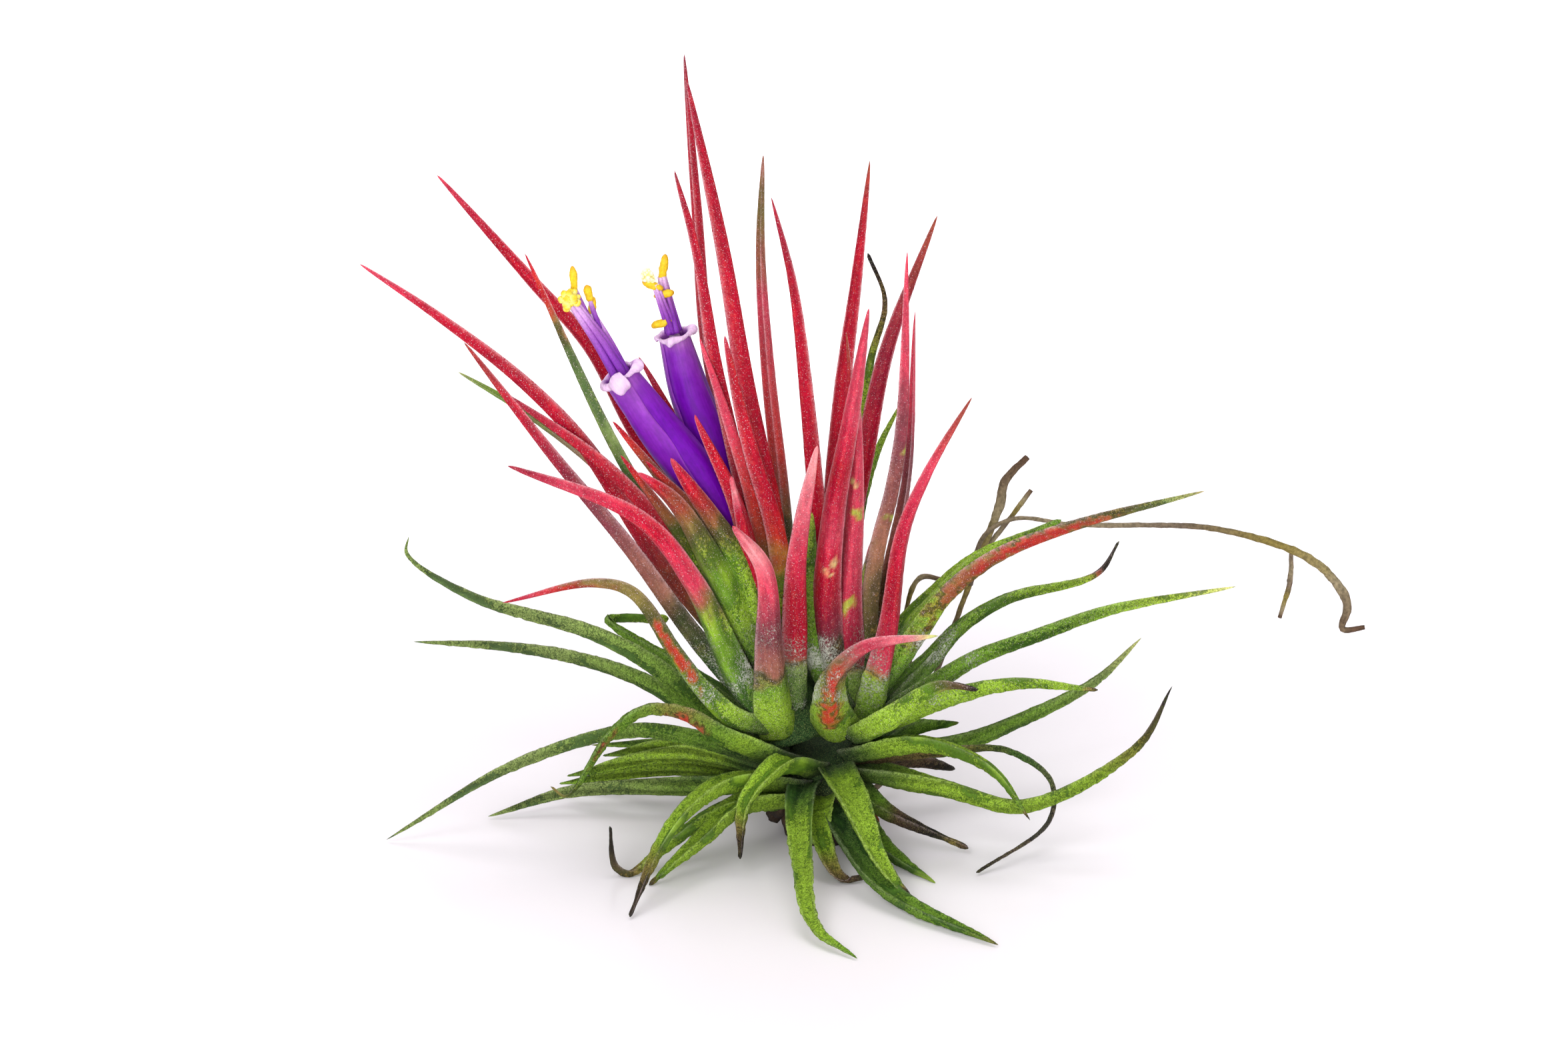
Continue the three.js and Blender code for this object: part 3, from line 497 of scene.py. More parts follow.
SIDE_LEAVES = {
    "tall": Leaf(2.6, 3.4, Coat.SIDE_TALL, (
        (2.5, 15, 1.5), (0.7, 30, 3.5), (1.5, 44, 5.5), (3.2, 57, 7.5), (4.8, 69.4, 10),
    )),
    "right_lean": Leaf(2.6, 3.4, Coat.SIDE_DARK, (
        (3, 15, 2.5), (2.8, 30, 6.5), (4.6, 40, 9), (6.6, 49.5, 11.5), (11.8, 63.7, 16),
    )),
    "front": Leaf(2.92, 3.6, Coat.SIDE_FRONT, (
        (1.8, 13, -1.5), (0.3, 22, -3.3), (0.9, 32, -4.4), (2.8, 42.5, -6), (4.7, 54.1, -8),
    ), ((0.36, 0.022, 0.2, 0.8, P.PALE_LIME),)),
    "small_tip": Leaf(1.64, 2.8, Coat.SIDE_TALL, (
        (2, 14, 0.5), (2, 35, 0), (2.6, 47.5, 0.5), (2.35, 51.7, 0.8),
    )),
    "blotched": Leaf(2.81, 3.6, Coat.BLOTCHED, (
        (3, 12.5, -1), (2.5, 21.5, -2), (3.2, 33, -2.4), (3.7, 44.4, -3),
    ), ((0.36, 0.03, 0, 0.8, P.LIME), (0.66, 0.035, 0.3, 0.9, P.LIME), (0.74, 0.02, -0.2, 0.8, P.PALE_LIME))),
    "mauve_upright": Leaf(2.2, 3.4, Coat.SIDE_MAUVE, (
        (4.5, 12.5, 0), (4.9, 22, -0.5), (5.9, 29.5, 0), (7.3, 35.2, 0.5), (8.3, 42, 0.8), (8.7, 60, 2),
    ), ((0.44, 0.022, 0, 0.9, P.LIME), (0.59, 0.02, 0.3, 0.9, P.LIME))),
    "thin": Leaf(1.64, 3, Coat.SIDE_MAUVE, ((5, 13.5, 1.5), (6.9, 26.5, 4), (8.8, 37, 6), (9.5, 53.8, 9))),
    "swaying": Leaf(2.1, 3.6, Coat.SWAYING, (
        (5, 11.5, -2), (6.9, 20.5, -3.9), (8.3, 30.4, -5), (10.9, 36.9, -7), (15.4, 44.9, -10),
    )),
    "left_tall": Leaf(2.3, 3.2, Coat.LEFT_TALL, (
        (1.5, 15.5, 1), (-0.6, 30, 1.2), (-1.9, 44, -0.6), (-3.3, 56.5, -3), (-5.4, 65.6, -5),
    )),
    "green_behind": Leaf(1.7, 2.8, Coat.PLAIN_GREEN, (
        (3, 14, 3.5), (3.3, 30, 10), (5.1, 38, 13.5), (8, 44.3, 16.5),
    )),
    "thread_tip": Leaf(1.5, 2.8, Coat.DARK_END, (
        (3, 13.5, 4.5), (3.3, 34, 13), (4.9, 48.6, 17.5), (6.4, 54.8, 18.8), (4.6, 59.8, 20),
    ), blunt=0.4),
    "inner_green": Leaf(3.0, 3.4, Coat.PLAIN_GREEN, (
        (1.9, 12.6, -1), (-1.0, 18, -1.8), (-1.7, 24, -2.2), (-1.2, 33, -1.8),
    )),
    "striped_sheath": Leaf(2.4, 5, Coat.STRIPED, (
        (1.4, 10, -2.8), (0.7, 12.4, -7.2), (1.2, 15.8, -9.2), (4.5, 18.9, -10.2), (11.9, 20.2, -11),
    ), ((0.33, 0.17, 0, 0.8, P.BRICK), (0.5, 0.12, -0.2, 0.6, P.BRICK))),
    "right_long": Leaf(2.3, 3.6, Coat.PALE_GREEN, (
        (4, 10.8, 0), (11, 14.9, -1.2), (16, 17.9, -2), (22, 20.1, -3.2), (30, 22.9, -5), (42.7, 25.3, -8),
    ), ribs=0.5),
    "black_thread": Leaf(2.5, 3.6, Coat.BLACK_THREAD, (
        (4, 11.5, 2.5), (10.6, 17, 5.5), (14, 20.9, 7.3), (19, 24, 9), (28.4, 26.7, 12), (30.6, 30, 13),
    ), blunt=0.4, ribs=0.5),
    "red_arch": Leaf(2.4, 3.8, Coat.RED_ARCH, (
        (4.5, 13, -1), (9.8, 20.2, -3), (12.7, 24.2, -3.3), (17.5, 28.1, -3.5), (25.2, 31.3, -3.8),
        (39.5, 35.2, -4),
    ), ((0.45, 0.28, -0.4, 0.8, P.RUST), (0.62, 0.2, -0.4, 0.7, P.BRICK)), ribs=0.3),
    "green_arch": Leaf(2.3, 3.4, Coat.MOSS, (
        (4.5, 14, 3), (8.6, 21.2, 6), (11.6, 24.6, 7.2), (15.8, 28.3, 9), (24.6, 32.2, 12),
    ), blunt=0.8),
    "dead_end": Leaf(2.81, 3.6, Coat.DARK_END, (
        (3.5, 9.8, -3), (7, 11.5, -8), (12.5, 15, -9.5), (16, 14.6, -10),
    ), blunt=0.7),
    "right_blunt": Leaf(2.8, 3.4, Coat.GREEN_BLUNT, (
        (4, 10, -1.5), (12, 13.4, -4.5), (20, 15.2, -6), (28.4, 14.6, -7),
    ), blunt=0.6),
}

LOWER_LEAVES = {
    "hooked_left": Leaf(2.8, 3.8, Coat.GREY_GREEN, (
        (-4, 6.8, -1), (-9.5, 9.6, -1.5), (-13.2, 13, -2.2), (-17.5, 17, -3), (-24, 20.5, -4.5),
        (-36.5, 24.3, -6), (-43.1, 28.7, -5), (-42.9, 30.5, -5),
    ), ribs=0.4),
    "level_left": Leaf(2.8, 3.8, Coat.GREY_GREEN, (
        (-4, 8.5, 1.5), (-13.8, 12.9, 5), (-19, 15.8, 6.8), (-25, 17.8, 8.6), (-33, 19.1, 11),
        (-42.4, 19.6, 14),
    ), ribs=0.4),
    "folded": Leaf(2.11, 3.4, Coat.PLAIN_GREEN, (
        (-3, 9, 3), (-14, 16.5, 10), (-22.3, 21.9, 14), (-20.5, 22.2, 15), (-16, 22, 16),
    ), blunt=1.0),
    "arched_left": Leaf(2.2, 3.8, Coat.RED_PATCH, (
        (-3.5, 7.5, -3.5), (-10.7, 9.9, -7.4), (-14.5, 12.1, -8.8), (-18.4, 12.5, -9.6), (-22, 10, -11),
        (-26.6, 3.6, -12), (-28.2, 4.6, -12),
    ), (
        (0.42, 0.1, -0.1, 0.8, P.BRICK), (0.36, 0.04, 0.3, 0.4, P.RUST), (0.74, 0.06, 0.6, 0.4, P.RUST),
    ), blunt=0.3),
    "long_left": Leaf(2.34, 3.6, Coat.GREY_GREEN, (
        (-3.5, 7, -2), (-14, 9.8, -4), (-20, 10.4, -4.5), (-32, 6.8, -4), (-45.2, -0.9, -3),
    ), ribs=0.4),
    "back_left": Leaf(2.3, 3.4, Coat.SHADED, ((-3, 7, 2.5), (-13, 9, 11.5), (-24, 8.9, 20)), ribs=0.8),
    "fan_upper": Leaf(3.3, 3.4, Coat.MOSS, (
        (-3.5, 6, 0.5), (-14, 8, 3.4), (-26.5, 5.7, 7.5),
    ), blunt=0.3, ribs=1.0),
    "fan_top": Leaf(3.1, 3.4, Coat.MOSS, (
        (-3.5, 6.6, 2), (-14, 8.9, 6.6), (-22.8, 7.8, 10),
    ), blunt=0.3, ribs=1.0),
    "fan_middle": Leaf(3.3, 3.4, Coat.MOSS, (
        (-3.5, 5.5, 1.5), (-14, 6.7, 7), (-27.3, 4.9, 11.2),
    ), blunt=0.3, ribs=1.0),
    "fan_lower": Leaf(3.1, 3.4, Coat.GREY_GREEN, (
        (-3, 5, 1), (-14, 4.7, 3.5), (-26, 4.1, 4.3), (-34.7, 1.5, 3.1),
    ), ribs=0.8),
    "black_tip": Leaf(2.8, 3.6, Coat.DARK_END, (
        (-2.5, 4.8, -3), (-10, 4.8, -9.2), (-14.2, 1.9, -14), (-17.1, -2.2, -18), (-20, -8.9, -22.3),
    ), blunt=0.5),
    "brown_thread": Leaf(2.2, 3.2, Coat.BROWN_END, (
        (-2.5, 3.5, -2.5), (-11, 1.9, -8.5), (-16.3, -1.7, -11), (-20, -4.4, -11.8), (-21.6, -3.7, -12),
        (-22.1, 0.5, -12),
    ), blunt=0.35),
    "broad_front_left": Leaf(3.5, 3.6, Coat.GREEN_BLUNT, (
        (-2, 3.6, -3), (-8.7, 2.4, -9), (-12.5, -0.9, -12), (-18, -5.6, -14),
    ), blunt=0.6),
    "drooping": Leaf(2.46, 3.4, Coat.DARK_END, (
        (-1, 6.5, -3), (-4.5, 6.6, -8), (-7.9, 2.8, -11), (-8.6, -2.9, -11.5),
    ), blunt=0.5),
    "front_bent": Leaf(2.7, 3.1, Coat.MOSS, (
        (-1, 5, -2), (-2.3, 3.6, -7), (-2.2, -3.5, -18), (-0.9, -10, -27), (3.5, -13.2, -32),
    )),
    "curled_tip": Leaf(2.34, 3, Coat.BROWN_END, (
        (0, 4.5, -2), (-0.5, 0, -9.5), (1.9, -4.9, -13.5), (4.5, -4.8, -13.5),
    ), blunt=0.6),
    "front_bright": Leaf(3.28, 3.8, Coat.GREEN_BLUNT, (
        (1, 6.5, -3), (3.1, 2.5, -11), (5.9, -3.4, -16.5), (8.9, -7.1, -19),
    ), blunt=0.8),
    "front_dark": Leaf(3.28, 3.4, Coat.SHADED, (
        (1, 3.6, -2), (2.6, -1.1, -11), (6.8, -6.5, -19), (18.1, -11.8, -29),
    )),
    "short_right": Leaf(2.1, 2.8, Coat.PLAIN_GREEN, ((2, 3.4, -1.5), (6.2, -1.9, -8), (11.6, -5.4, -13.5))),
    "withered": Leaf(1.75, 2.6, Coat.WITHERED, ((2.5, 5.5, -1), (6, 2.2, -5), (15, -1.8, -6.5)), blunt=0.8),
    "sagging_right": Leaf(2.57, 3.4, Coat.DARK_END, (
        (2.5, 6.5, -1.5), (13, 4.3, -6), (21, 2.6, -7.5), (32.6, 8.8, -6.5), (36.1, 15, -6),
    ), ribs=0.4),
    "bright_right": Leaf(2.57, 3.4, Coat.GREEN_BLUNT, (
        (2.5, 8, -2), (11, 8.9, -7), (17.5, 6.2, -11), (21.4, 1.1, -12),
    )),
    "right_rising": Leaf(3, 3.6, Coat.LIME_TIP, (
        (3, 7.6, 1.5), (14, 9.1, 7.5), (21.5, 12, 11), (28, 15.4, 13.6), (32.9, 20, 15.5),
    ), ribs=0.5),
    "dry_thread": Leaf(1.05, 2.4, Coat.DRY_THREAD, (
        (3, 7.5, -1), (12, 8.2, -2), (19, 8.35, -3), (23.5, 5.2, -4), (23.3, 1.1, -6), (15.8, -4.3, -11.6),
    ), blunt=0.35),
    "black_stub": Leaf(2.6, 2.8, Coat.DEAD, ((3, 6, 2), (9, 7.3, 4.5), (13.6, 6.4, 5.5)), blunt=0.9),
    "dark_right": Leaf(2.8, 3.2, Coat.SHADED, ((3, 8, 2.5), (9, 10.6, 6.5), (14, 11.2, 8.5)), blunt=0.6),
}


@dataclass
class Surface:
    """A closed skin of rings, with its colours and marks at each point.

    Tints hold a colour and, last, how near the point is to a margin. Marks hold, in order,
    how much crust, how many specks, how many silver flakes and how strong ribs a point
    has. Runs hold its distance along the piece and across it, in millimetres.
    """

    points: Array
    tints: Array
    marks: Array
    runs: Array

    def faces(self) -> Array:
        """Joins neighbouring rings with four-cornered faces and closes both ends.

        Returns:
            Faces as four point numbers each, which turn outwards.
        """
        rows, sides = self.points.shape[:2]
        ring = np.arange(sides)
        row = np.arange(rows - 1)[:, None] * sides
        here, beside = row + ring, row + (ring + 1) % sides
        wall = np.stack([here, beside, beside + sides, here + sides], axis=-1).reshape(-1, 4)
        strip = np.arange(sides // 2 - 1)
        cap = np.stack([strip, strip + 1, sides - 2 - strip, sides - 1 - strip], axis=-1)
        return np.vstack([wall, cap[:, ::-1], cap + (rows - 1) * sides])

    def raise_by(self, heights: Array) -> None:
        """Moves each point outwards by its height, less where the piece is thin.

        Args:
            heights: How far each point moves, in millimetres.
        """
        along = np.gradient(self.points, axis=0)
        around = np.roll(self.points, -1, axis=1) - np.roll(self.points, 1, axis=1)
        outward = unit(np.cross(around, along))
        girth = np.linalg.norm(around, axis=-1).sum(axis=1)[:, None] / 2
        fade = np.clip(girth / THIN_GIRTH, 0, 1)
        self.points = self.points + outward * (heights * fade)[..., None]

    def roughen(self, grain: Grain, seed: int) -> None:
        """Raises the skin by one kind of noise."""
        self.raise_by(grain.at(self.points, seed))


def paint(stops: tuple, place: Array) -> Array:
    """Colours places along a piece.

    Args:
        stops: Pairs of a share along the piece and a Pigment, in order.
        place: The share along the piece at each point.

    Returns:
        Colours as seen on a screen, blended evenly between the stops.
    """
    shares = [share for share, _ in stops]
    rows = np.array([pigment.value for _, pigment in stops], float)
    return np.stack([np.interp(place, shares, rows[:, k]) for k in range(3)], axis=-1)


# The noises that a leaf's look is made of.
COAT_GRAIN = Grain(1.6, 4, 0.065, 0)
WEAR_GRAIN = Grain(1.4, 3, 1.0, 20)
BLOTCH_GRAIN = Grain(0.5, 3, 0.7, 30)
SHADE_GRAIN = Grain(5.0, 2, 0.12, 40)
FLAKE_GRAIN = Grain(2.5, 2, 0.5, 50)
CRUMB_GRAIN = Grain(0.42, 2, 0.8, 60)

BACK_POWER = 1.7  # how full the rounded back of a leaf's section is
TIP_LEAST = 0.03  # the square of what is left of a blunt tip's width at its very end
RED_SPAN = 60.0  # a colour counts as wholly red where its red is this far above its green
BLOTCH_EDGE = 0.4  # the nearness to a blotch's middle at which it starts
BLOTCH_FADE = 0.5  # how much nearer a place is where it is full
BLOTCH_MOST = 0.85  # how much of its own colour a blotch has in its middle
BLOTCH_RAG = 0.2  # how ragged its edge is
# Painted shade: a leaf is darker for a few millimetres from its root, where the leaves crowd together.
ROOT_PAINTED_SHADE = 0.15
ROOT_SHADE_RUN = 3.0  # how far from its root a leaf is darker
SHEATH_CRUST = 0.2
SHEATH_CRUST_RUN = 11.0  # how far from its root a leaf has more crust
SHEATH_CRUST_GAIN = 4  # how much more of it the thinly crusted leaves have
PATCH_LEVEL = 0.6  # how crusty a leaf is between patches and worn places
PATCH_LEAST = 0.12
PATCH_STRETCH = 0.3  # distances along a leaf count by this much, so that patches are long
WEAR_MOST = 1.35
WEAR_LOST_TO_RIBS = 0.9
FLAKE_HEIGHT = 18.0  # where the sheaths are most flaky, as seen
FLAKE_SWAY = 1.3  # how much higher or lower that is from leaf to leaf
FLAKE_REACH = 5.2
FLAKE_RUN = 22.0  # how far from its root a leaf is flaky
FLAKE_MOST = 1.5
FLAKE_LEVEL = 0.85
MARGIN_POWER = 14  # how narrow the pale margin is
MARGIN_LEAST = 0.2
CRUMB_LEVEL = 0.5  # how high the crumbs stand on the whole
RIB_HEIGHT = 0.12
RELIEF_GAIN = 1.6
RELIEF_LOST_TO_RIBS = 0.6
RELIEF_LEAST = 0.3


def redness(colour: Array) -> Array:
    """Tells how red screen colours are, from 0 to 1."""
    return np.clip((colour[..., 0] - colour[..., 1]) / RED_SPAN, 0, 1)


def fading(runs: Array, reach: float, power: int = 2) -> Array:
    """Gives a share that falls from 1 at a leaf's root to nothing past a reach."""
    return np.exp(-((runs / reach) ** power))


@dataclass
class Head:
    """A rosette's axis, how slowly its leaves narrow, and how its leaves are surfaced."""

    foot: Array
    lean: Array
    taper: float
    row_gap: float  # between one ring of a leaf's points and the next
    sides: int
    crust: float
    specks: float
    flakes: float
    relief: float

    def leaf(self, shape: Leaf, points: Array, seed: int) -> Surface:
        """Builds one leaf as a channelled blade along its curve.

        The section has a rounded back and a shallow channel, so a point of it is a share
        of the width across and a share of the depth out. The width falls from the sheath's
        to the blade's over SHEATH_REACH, and then to nothing or to a round blunt end. The
        section turns its channel to the head's axis, and twists a little to the front.

        Args:
            shape: The leaf's widths and colours.
            points: The points that it passes through, in millimetres.
            seed: Picks its noise.

        Returns:
            The leaf's skin, with its colours and marks.
        """
        coarse = curve_through(points, 2)
        outward = coarse[int(len(coarse) * FACING_SHARE)] - self.foot
        outward = unit(outward - outward @ self.lean * self.lean)
        across = unit(np.cross(self.lean, outward))
        centres = spaced(curve_through(points, DENSE_STEPS), self.row_gap)
        along = unit(np.gradient(centres, axis=0))
        length = np.linalg.norm(np.diff(centres, axis=0), axis=1).sum()
        runs = np.linspace(0, length, len(centres))
        broad = fading(runs, SHEATH_REACH)
        narrow = np.minimum(1, np.maximum(1 - runs / length, 0) / TAPER_SHARE) ** self.taper
        width = np.maximum(shape.wide * narrow * (1 - broad) + shape.sheath * broad, shape.blunt)
        bluntness = 1 - (1 - (length - runs) / shape.blunt).clip(0, 1) ** 2
        width = width * np.sqrt(np.clip(bluntness, TIP_LEAST, 1))
        depth = np.minimum(width * DEPTH_SHARE, DEEPEST)
        side = unit(across - (along @ across)[:, None] * along)
        turn = (-TWIST * across[1] * (1 - broad))[:, None]
        side = side * np.cos(turn) + np.cross(along, side) * np.sin(turn)
        face = np.cross(along, side)
        half = self.sides // 2
        inner = np.cos(np.linspace(0, np.pi, half))
        outer = -np.cos(np.linspace(0, np.pi, self.sides - half + 2))[1:-1]
        share = np.concatenate([inner, outer])
        lift = np.concatenate([0.5 - CHANNEL_SHARE * (1 - inner**2), -0.5 + np.abs(outer) ** BACK_POWER])
        skin = (
            centres[:, None]
            + side[:, None] * (width[:, None] * share / 2)[..., None]
            + face[:, None] * (depth[:, None] * lift)[..., None]
        )
        return self.dressed(shape, skin, share, runs, width, seed)

    def dressed(
        self, shape: Leaf, skin: Array, share: Array, runs: Array, width: Array, seed: int
    ) -> Surface:
        """Colours a leaf's skin and gives it its marks and its rough surface.

        The crust lies in patches that are longer than wide, and stands up from the skin by
        the relief. Ribs run along the leaf as a cosine of the distance across it.

        Args:
            shape: The leaf's coat, blotches and ribs.
            skin: The points, in rings.
            share: How far across the blade each point of a ring lies, -1 to 1.
            runs: The distance of each ring from the root.
            width: The width of each ring.
            seed: Picks its noise.

        Returns:
            The finished skin.
        """
        whole = np.ones(skin.shape[:2])
        place = (runs / runs[-1])[:, None] + COAT_GRAIN.at(skin, seed)
        colour = paint(shape.coat.value, np.clip(place, 0, 1))
        red = redness(colour)
        ragged = BLOTCH_GRAIN.at(skin, seed)
        for centre, reach, middle, spread, pigment in shape.blotches:
            nearness = np.exp(-(((place - centre) / reach) ** 2) - ((share - middle) / spread) ** 2)
            weight = nearness - BLOTCH_EDGE + ragged * (BLOTCH_RAG + nearness)
            weight = np.clip(weight / BLOTCH_FADE, 0, BLOTCH_MOST)[..., None]
            colour = colour * (1 - weight) + np.array(pigment.value) * weight
        red = np.maximum(red, redness(colour))
        # Painted shade near the root, times the leaf's own uneven tone.
        painted_root_shade = 1 - ROOT_PAINTED_SHADE * fading(runs, ROOT_SHADE_RUN)[:, None]
        shade = painted_root_shade * (1 + SHADE_GRAIN.at(skin, seed))
        wear = WEAR_MOST - WEAR_LOST_TO_RIBS * min(shape.ribs * 2, 1)
        sheath = SHEATH_CRUST * fading(runs, SHEATH_CRUST_RUN)[:, None]
        sideways = width[:, None] * share / 2
        lengthwise = np.dstack([PATCH_STRETCH * runs[:, None] * whole, sideways, seed * whole])
        patches = np.clip(PATCH_LEVEL + sheath + wear * WEAR_GRAIN.at(lengthwise, seed), PATCH_LEAST, 1)
        crust = self.crust + (1 - self.crust) * sheath * SHEATH_CRUST_GAIN
        crust = crust * (1 - red) * patches
        middle = FLAKE_HEIGHT + FLAKE_SWAY * math.sin(seed * 2.4)
        silver = FLAKE_MOST * np.exp(-(((skin @ VIEW_UP - middle) / FLAKE_REACH) ** 2))
        silver = np.minimum(silver, 1) * self.flakes * (FLAKE_LEVEL + FLAKE_GRAIN.at(skin, seed))
        silver = silver * fading(runs, FLAKE_RUN, 4)[:, None]
        margin = np.abs(share) ** MARGIN_POWER * (MARGIN_LEAST + (1 - MARGIN_LEAST) * red)
        surface = Surface(
            points=skin,
            tints=np.dstack([linear(np.clip(colour * shade[..., None], 0, 255)), margin]),
            marks=np.dstack([crust, self.specks * whole, silver, shape.ribs * whole]),
            runs=np.dstack([runs[:, None] * whole, sideways, 0 * whole]),
        )
        crumbs = CRUMB_LEVEL + CRUMB_GRAIN.at(skin, seed)
        ribs = shape.ribs * RIB_HEIGHT * np.cos(sideways * 2 * np.pi / RIB_GAP)
        relief = RELIEF_GAIN * self.relief * (1 - RELIEF_LOST_TO_RIBS * min(shape.ribs, 1))
        surface.raise_by(relief * (RELIEF_LEAST + crust) * crumbs + ribs)
        return surface


FLOWERING_HEAD = Head(
    sight((-3.5, 10, 0))[0], unit(np.array([-8.0, -1, 20])), taper=0.5, row_gap=0.34, sides=22,
    crust=0.4, specks=1.0, flakes=1.0, relief=0.04,
)
SIDE_HEAD = Head(
    sight((2.8, 10, 0.5))[0], unit(np.array([1.0, 0.5, 20])), taper=0.58, row_gap=0.32, sides=24,
    crust=0.85, specks=0.7, flakes=1.0, relief=0.09,
)
LOWER_WHORL = Head(
    np.array([0.0, 0, 4]), np.array([0.0, 0, 1]), taper=0.66, row_gap=0.25, sides=26,
    crust=1.0, specks=0.1, flakes=0.2, relief=0.12,
)


@dataclass
class Draws:
    """Repeatable random draws, each from the one before it."""

    seed: int = 20260

    def between(self, low: float, high: float) -> float:
        """Draws the next number between two bounds."""
        self.seed = (self.seed * DRAW_FACTOR + DRAW_STEP) % DRAW_RANGE
        return low + (high - low) * self.seed / DRAW_RANGE


@dataclass(frozen=True)
class BackWhorl:
    """Leaves at the back of a whorl, as ranges of bearing, rise, droop and length."""

    count: int
    start: tuple
    bearing: tuple
    rise: tuple
    droop: tuple
    length: tuple
    coat: Coat

    JITTER = 2  # degrees that a leaf's bearing may be off
    STEPS = 4

    def arcs(self, draws: Draws) -> list:
        """Works out each leaf as an arc that rises, then droops.

        Args:
            draws: The random draws, which this moves on.

        Returns:
            Pairs of a Leaf and its points in millimetres.
        """
        made = []
        for i in range(self.count):
            share = (i + 0.5) / self.count
            bearing = self.bearing[0] + (self.bearing[1] - self.bearing[0]) * share
            turn = math.radians(bearing + draws.between(-self.JITTER, self.JITTER))
            heading = np.array([math.sin(turn), math.cos(turn), 0])
            rise = math.radians(draws.between(*self.rise))
            droop = math.radians(draws.between(*self.droop))
            step = draws.between(*self.length) / self.STEPS
            points = [np.array(self.start, float)]
            for k in range(self.STEPS):
                angle = rise - droop * (k + 0.5) / self.STEPS
                following = points[-1] + heading * step * math.cos(angle)
                following[2] = max(following[2] + step * math.sin(angle), LOWEST)
                points.append(following)
            made.append((Leaf(draws.between(*BACK_WIDTHS), BACK_SHEATH, self.coat, ()), np.array(points)))
        return made


BACK_WHORLS = {
    "flowering": BackWhorl(7, (-5, 1, 14), (-30, -4), (36, 58), (42, 66), (26, 36), Coat.BRACT_ORANGE),
    "side": BackWhorl(6, (4, 1.5, 14), (-18, 6), (24, 42), (44, 62), (24, 31), Coat.BRACT),
    "lower": BackWhorl(9, (-1, 2, 6), (-24, 20), (12, 30), (36, 56), (22, 29), Coat.MOSS),
}


STRAND_GRAIN = Grain(1.5, 2, 0.04, 5)
UPRIGHT = 0.8  # a strand this much along y takes its sides from x
BEAD_END = 0.12  # the angle left out at each end of a bead, where it would be a point


def strand(rows: Array, sides: int, gap: float, stops: tuple, marks: tuple = (0, 0, 0, 0)) -> Surface:
    """Builds a round strand: a circle of changing radius carried along a smooth curve.

    Args:
        rows: Places and radii, four numbers each, in millimetres.
        sides: How many points go round it.
        gap: The distance between rings.
        stops: Its colours from start to end.
        marks: Its crust, specks, flakes and ribs.

    Returns:
        The strand's skin.
    """
    rows = np.asarray(rows, float)
    places = curve_through(rows[:, :3], DENSE_STEPS)
    radii = np.interp(np.linspace(0, len(rows) - 1, len(places)), np.arange(len(rows)), rows[:, 3])
    line = spaced(np.column_stack([places, radii]), gap)
    along = unit(np.gradient(line[:, :3], axis=0))
    start = np.array([0.0, 1, 0]) if abs(along[:, 1]).mean() < UPRIGHT else np.array([1.0, 0, 0])
    side = unit(start - (along @ start)[:, None] * along)
    face = np.cross(along, side)
    turn = np.linspace(0, 2 * np.pi, sides, endpoint=False)
    skin = (
        line[:, None, :3]
        + side[:, None] * (line[:, 3:] * np.cos(turn))[..., None]
        + face[:, None] * (line[:, 3:] * np.sin(turn))[..., None]
    )
    place = np.linspace(0, 1, len(line))[:, None] + STRAND_GRAIN.at(skin, 0)
    colours = linear(paint(stops, np.clip(place, 0, 1)))
    whole = np.ones(place.shape)
    run = np.linspace(0, gap * (len(line) - 1), len(line))[:, None] * whole
    runs = np.dstack([run, line[:, 3:] * (turn - np.pi), 0 * whole])
    return Surface(skin, np.dstack([colours, 0 * whole]), whole[..., None] * np.array(marks, float), runs)


def bead(start: Array, end: Array, radius: float, sides: int, stops: tuple) -> Surface:
    """Builds a rounded bead: a strand that is full for most of its length and round at its ends.

    Args:
        start: The middle of one end.
        end: The middle of the other end.
        radius: How thick it is, and how far it passes its ends.
        sides: How many points go round it.
        stops: Its colours from start to end.

    Returns:
        The bead's skin.
    """
    middle, half = (start + end) / 2, np.linalg.norm(end - start) / 2 + radius
    along = unit(end - start)
    steps = -np.cos(np.linspace(BEAD_END, np.pi - BEAD_END, sides))
    swell = radius * (1 - np.abs(steps) ** 3) ** 0.5
    rows = np.column_stack([middle + along * (steps * half)[:, None], swell])
    return strand(rows, sides, half / sides, stops)


def placed(name: str, data: bpy.types.ID) -> bpy.types.Object:
    """Adds an object that holds a mesh, a lamp or a camera to the scene, at the origin."""
    made = bpy.data.objects.new(name, data)
    bpy.context.scene.collection.objects.link(made)
    return made


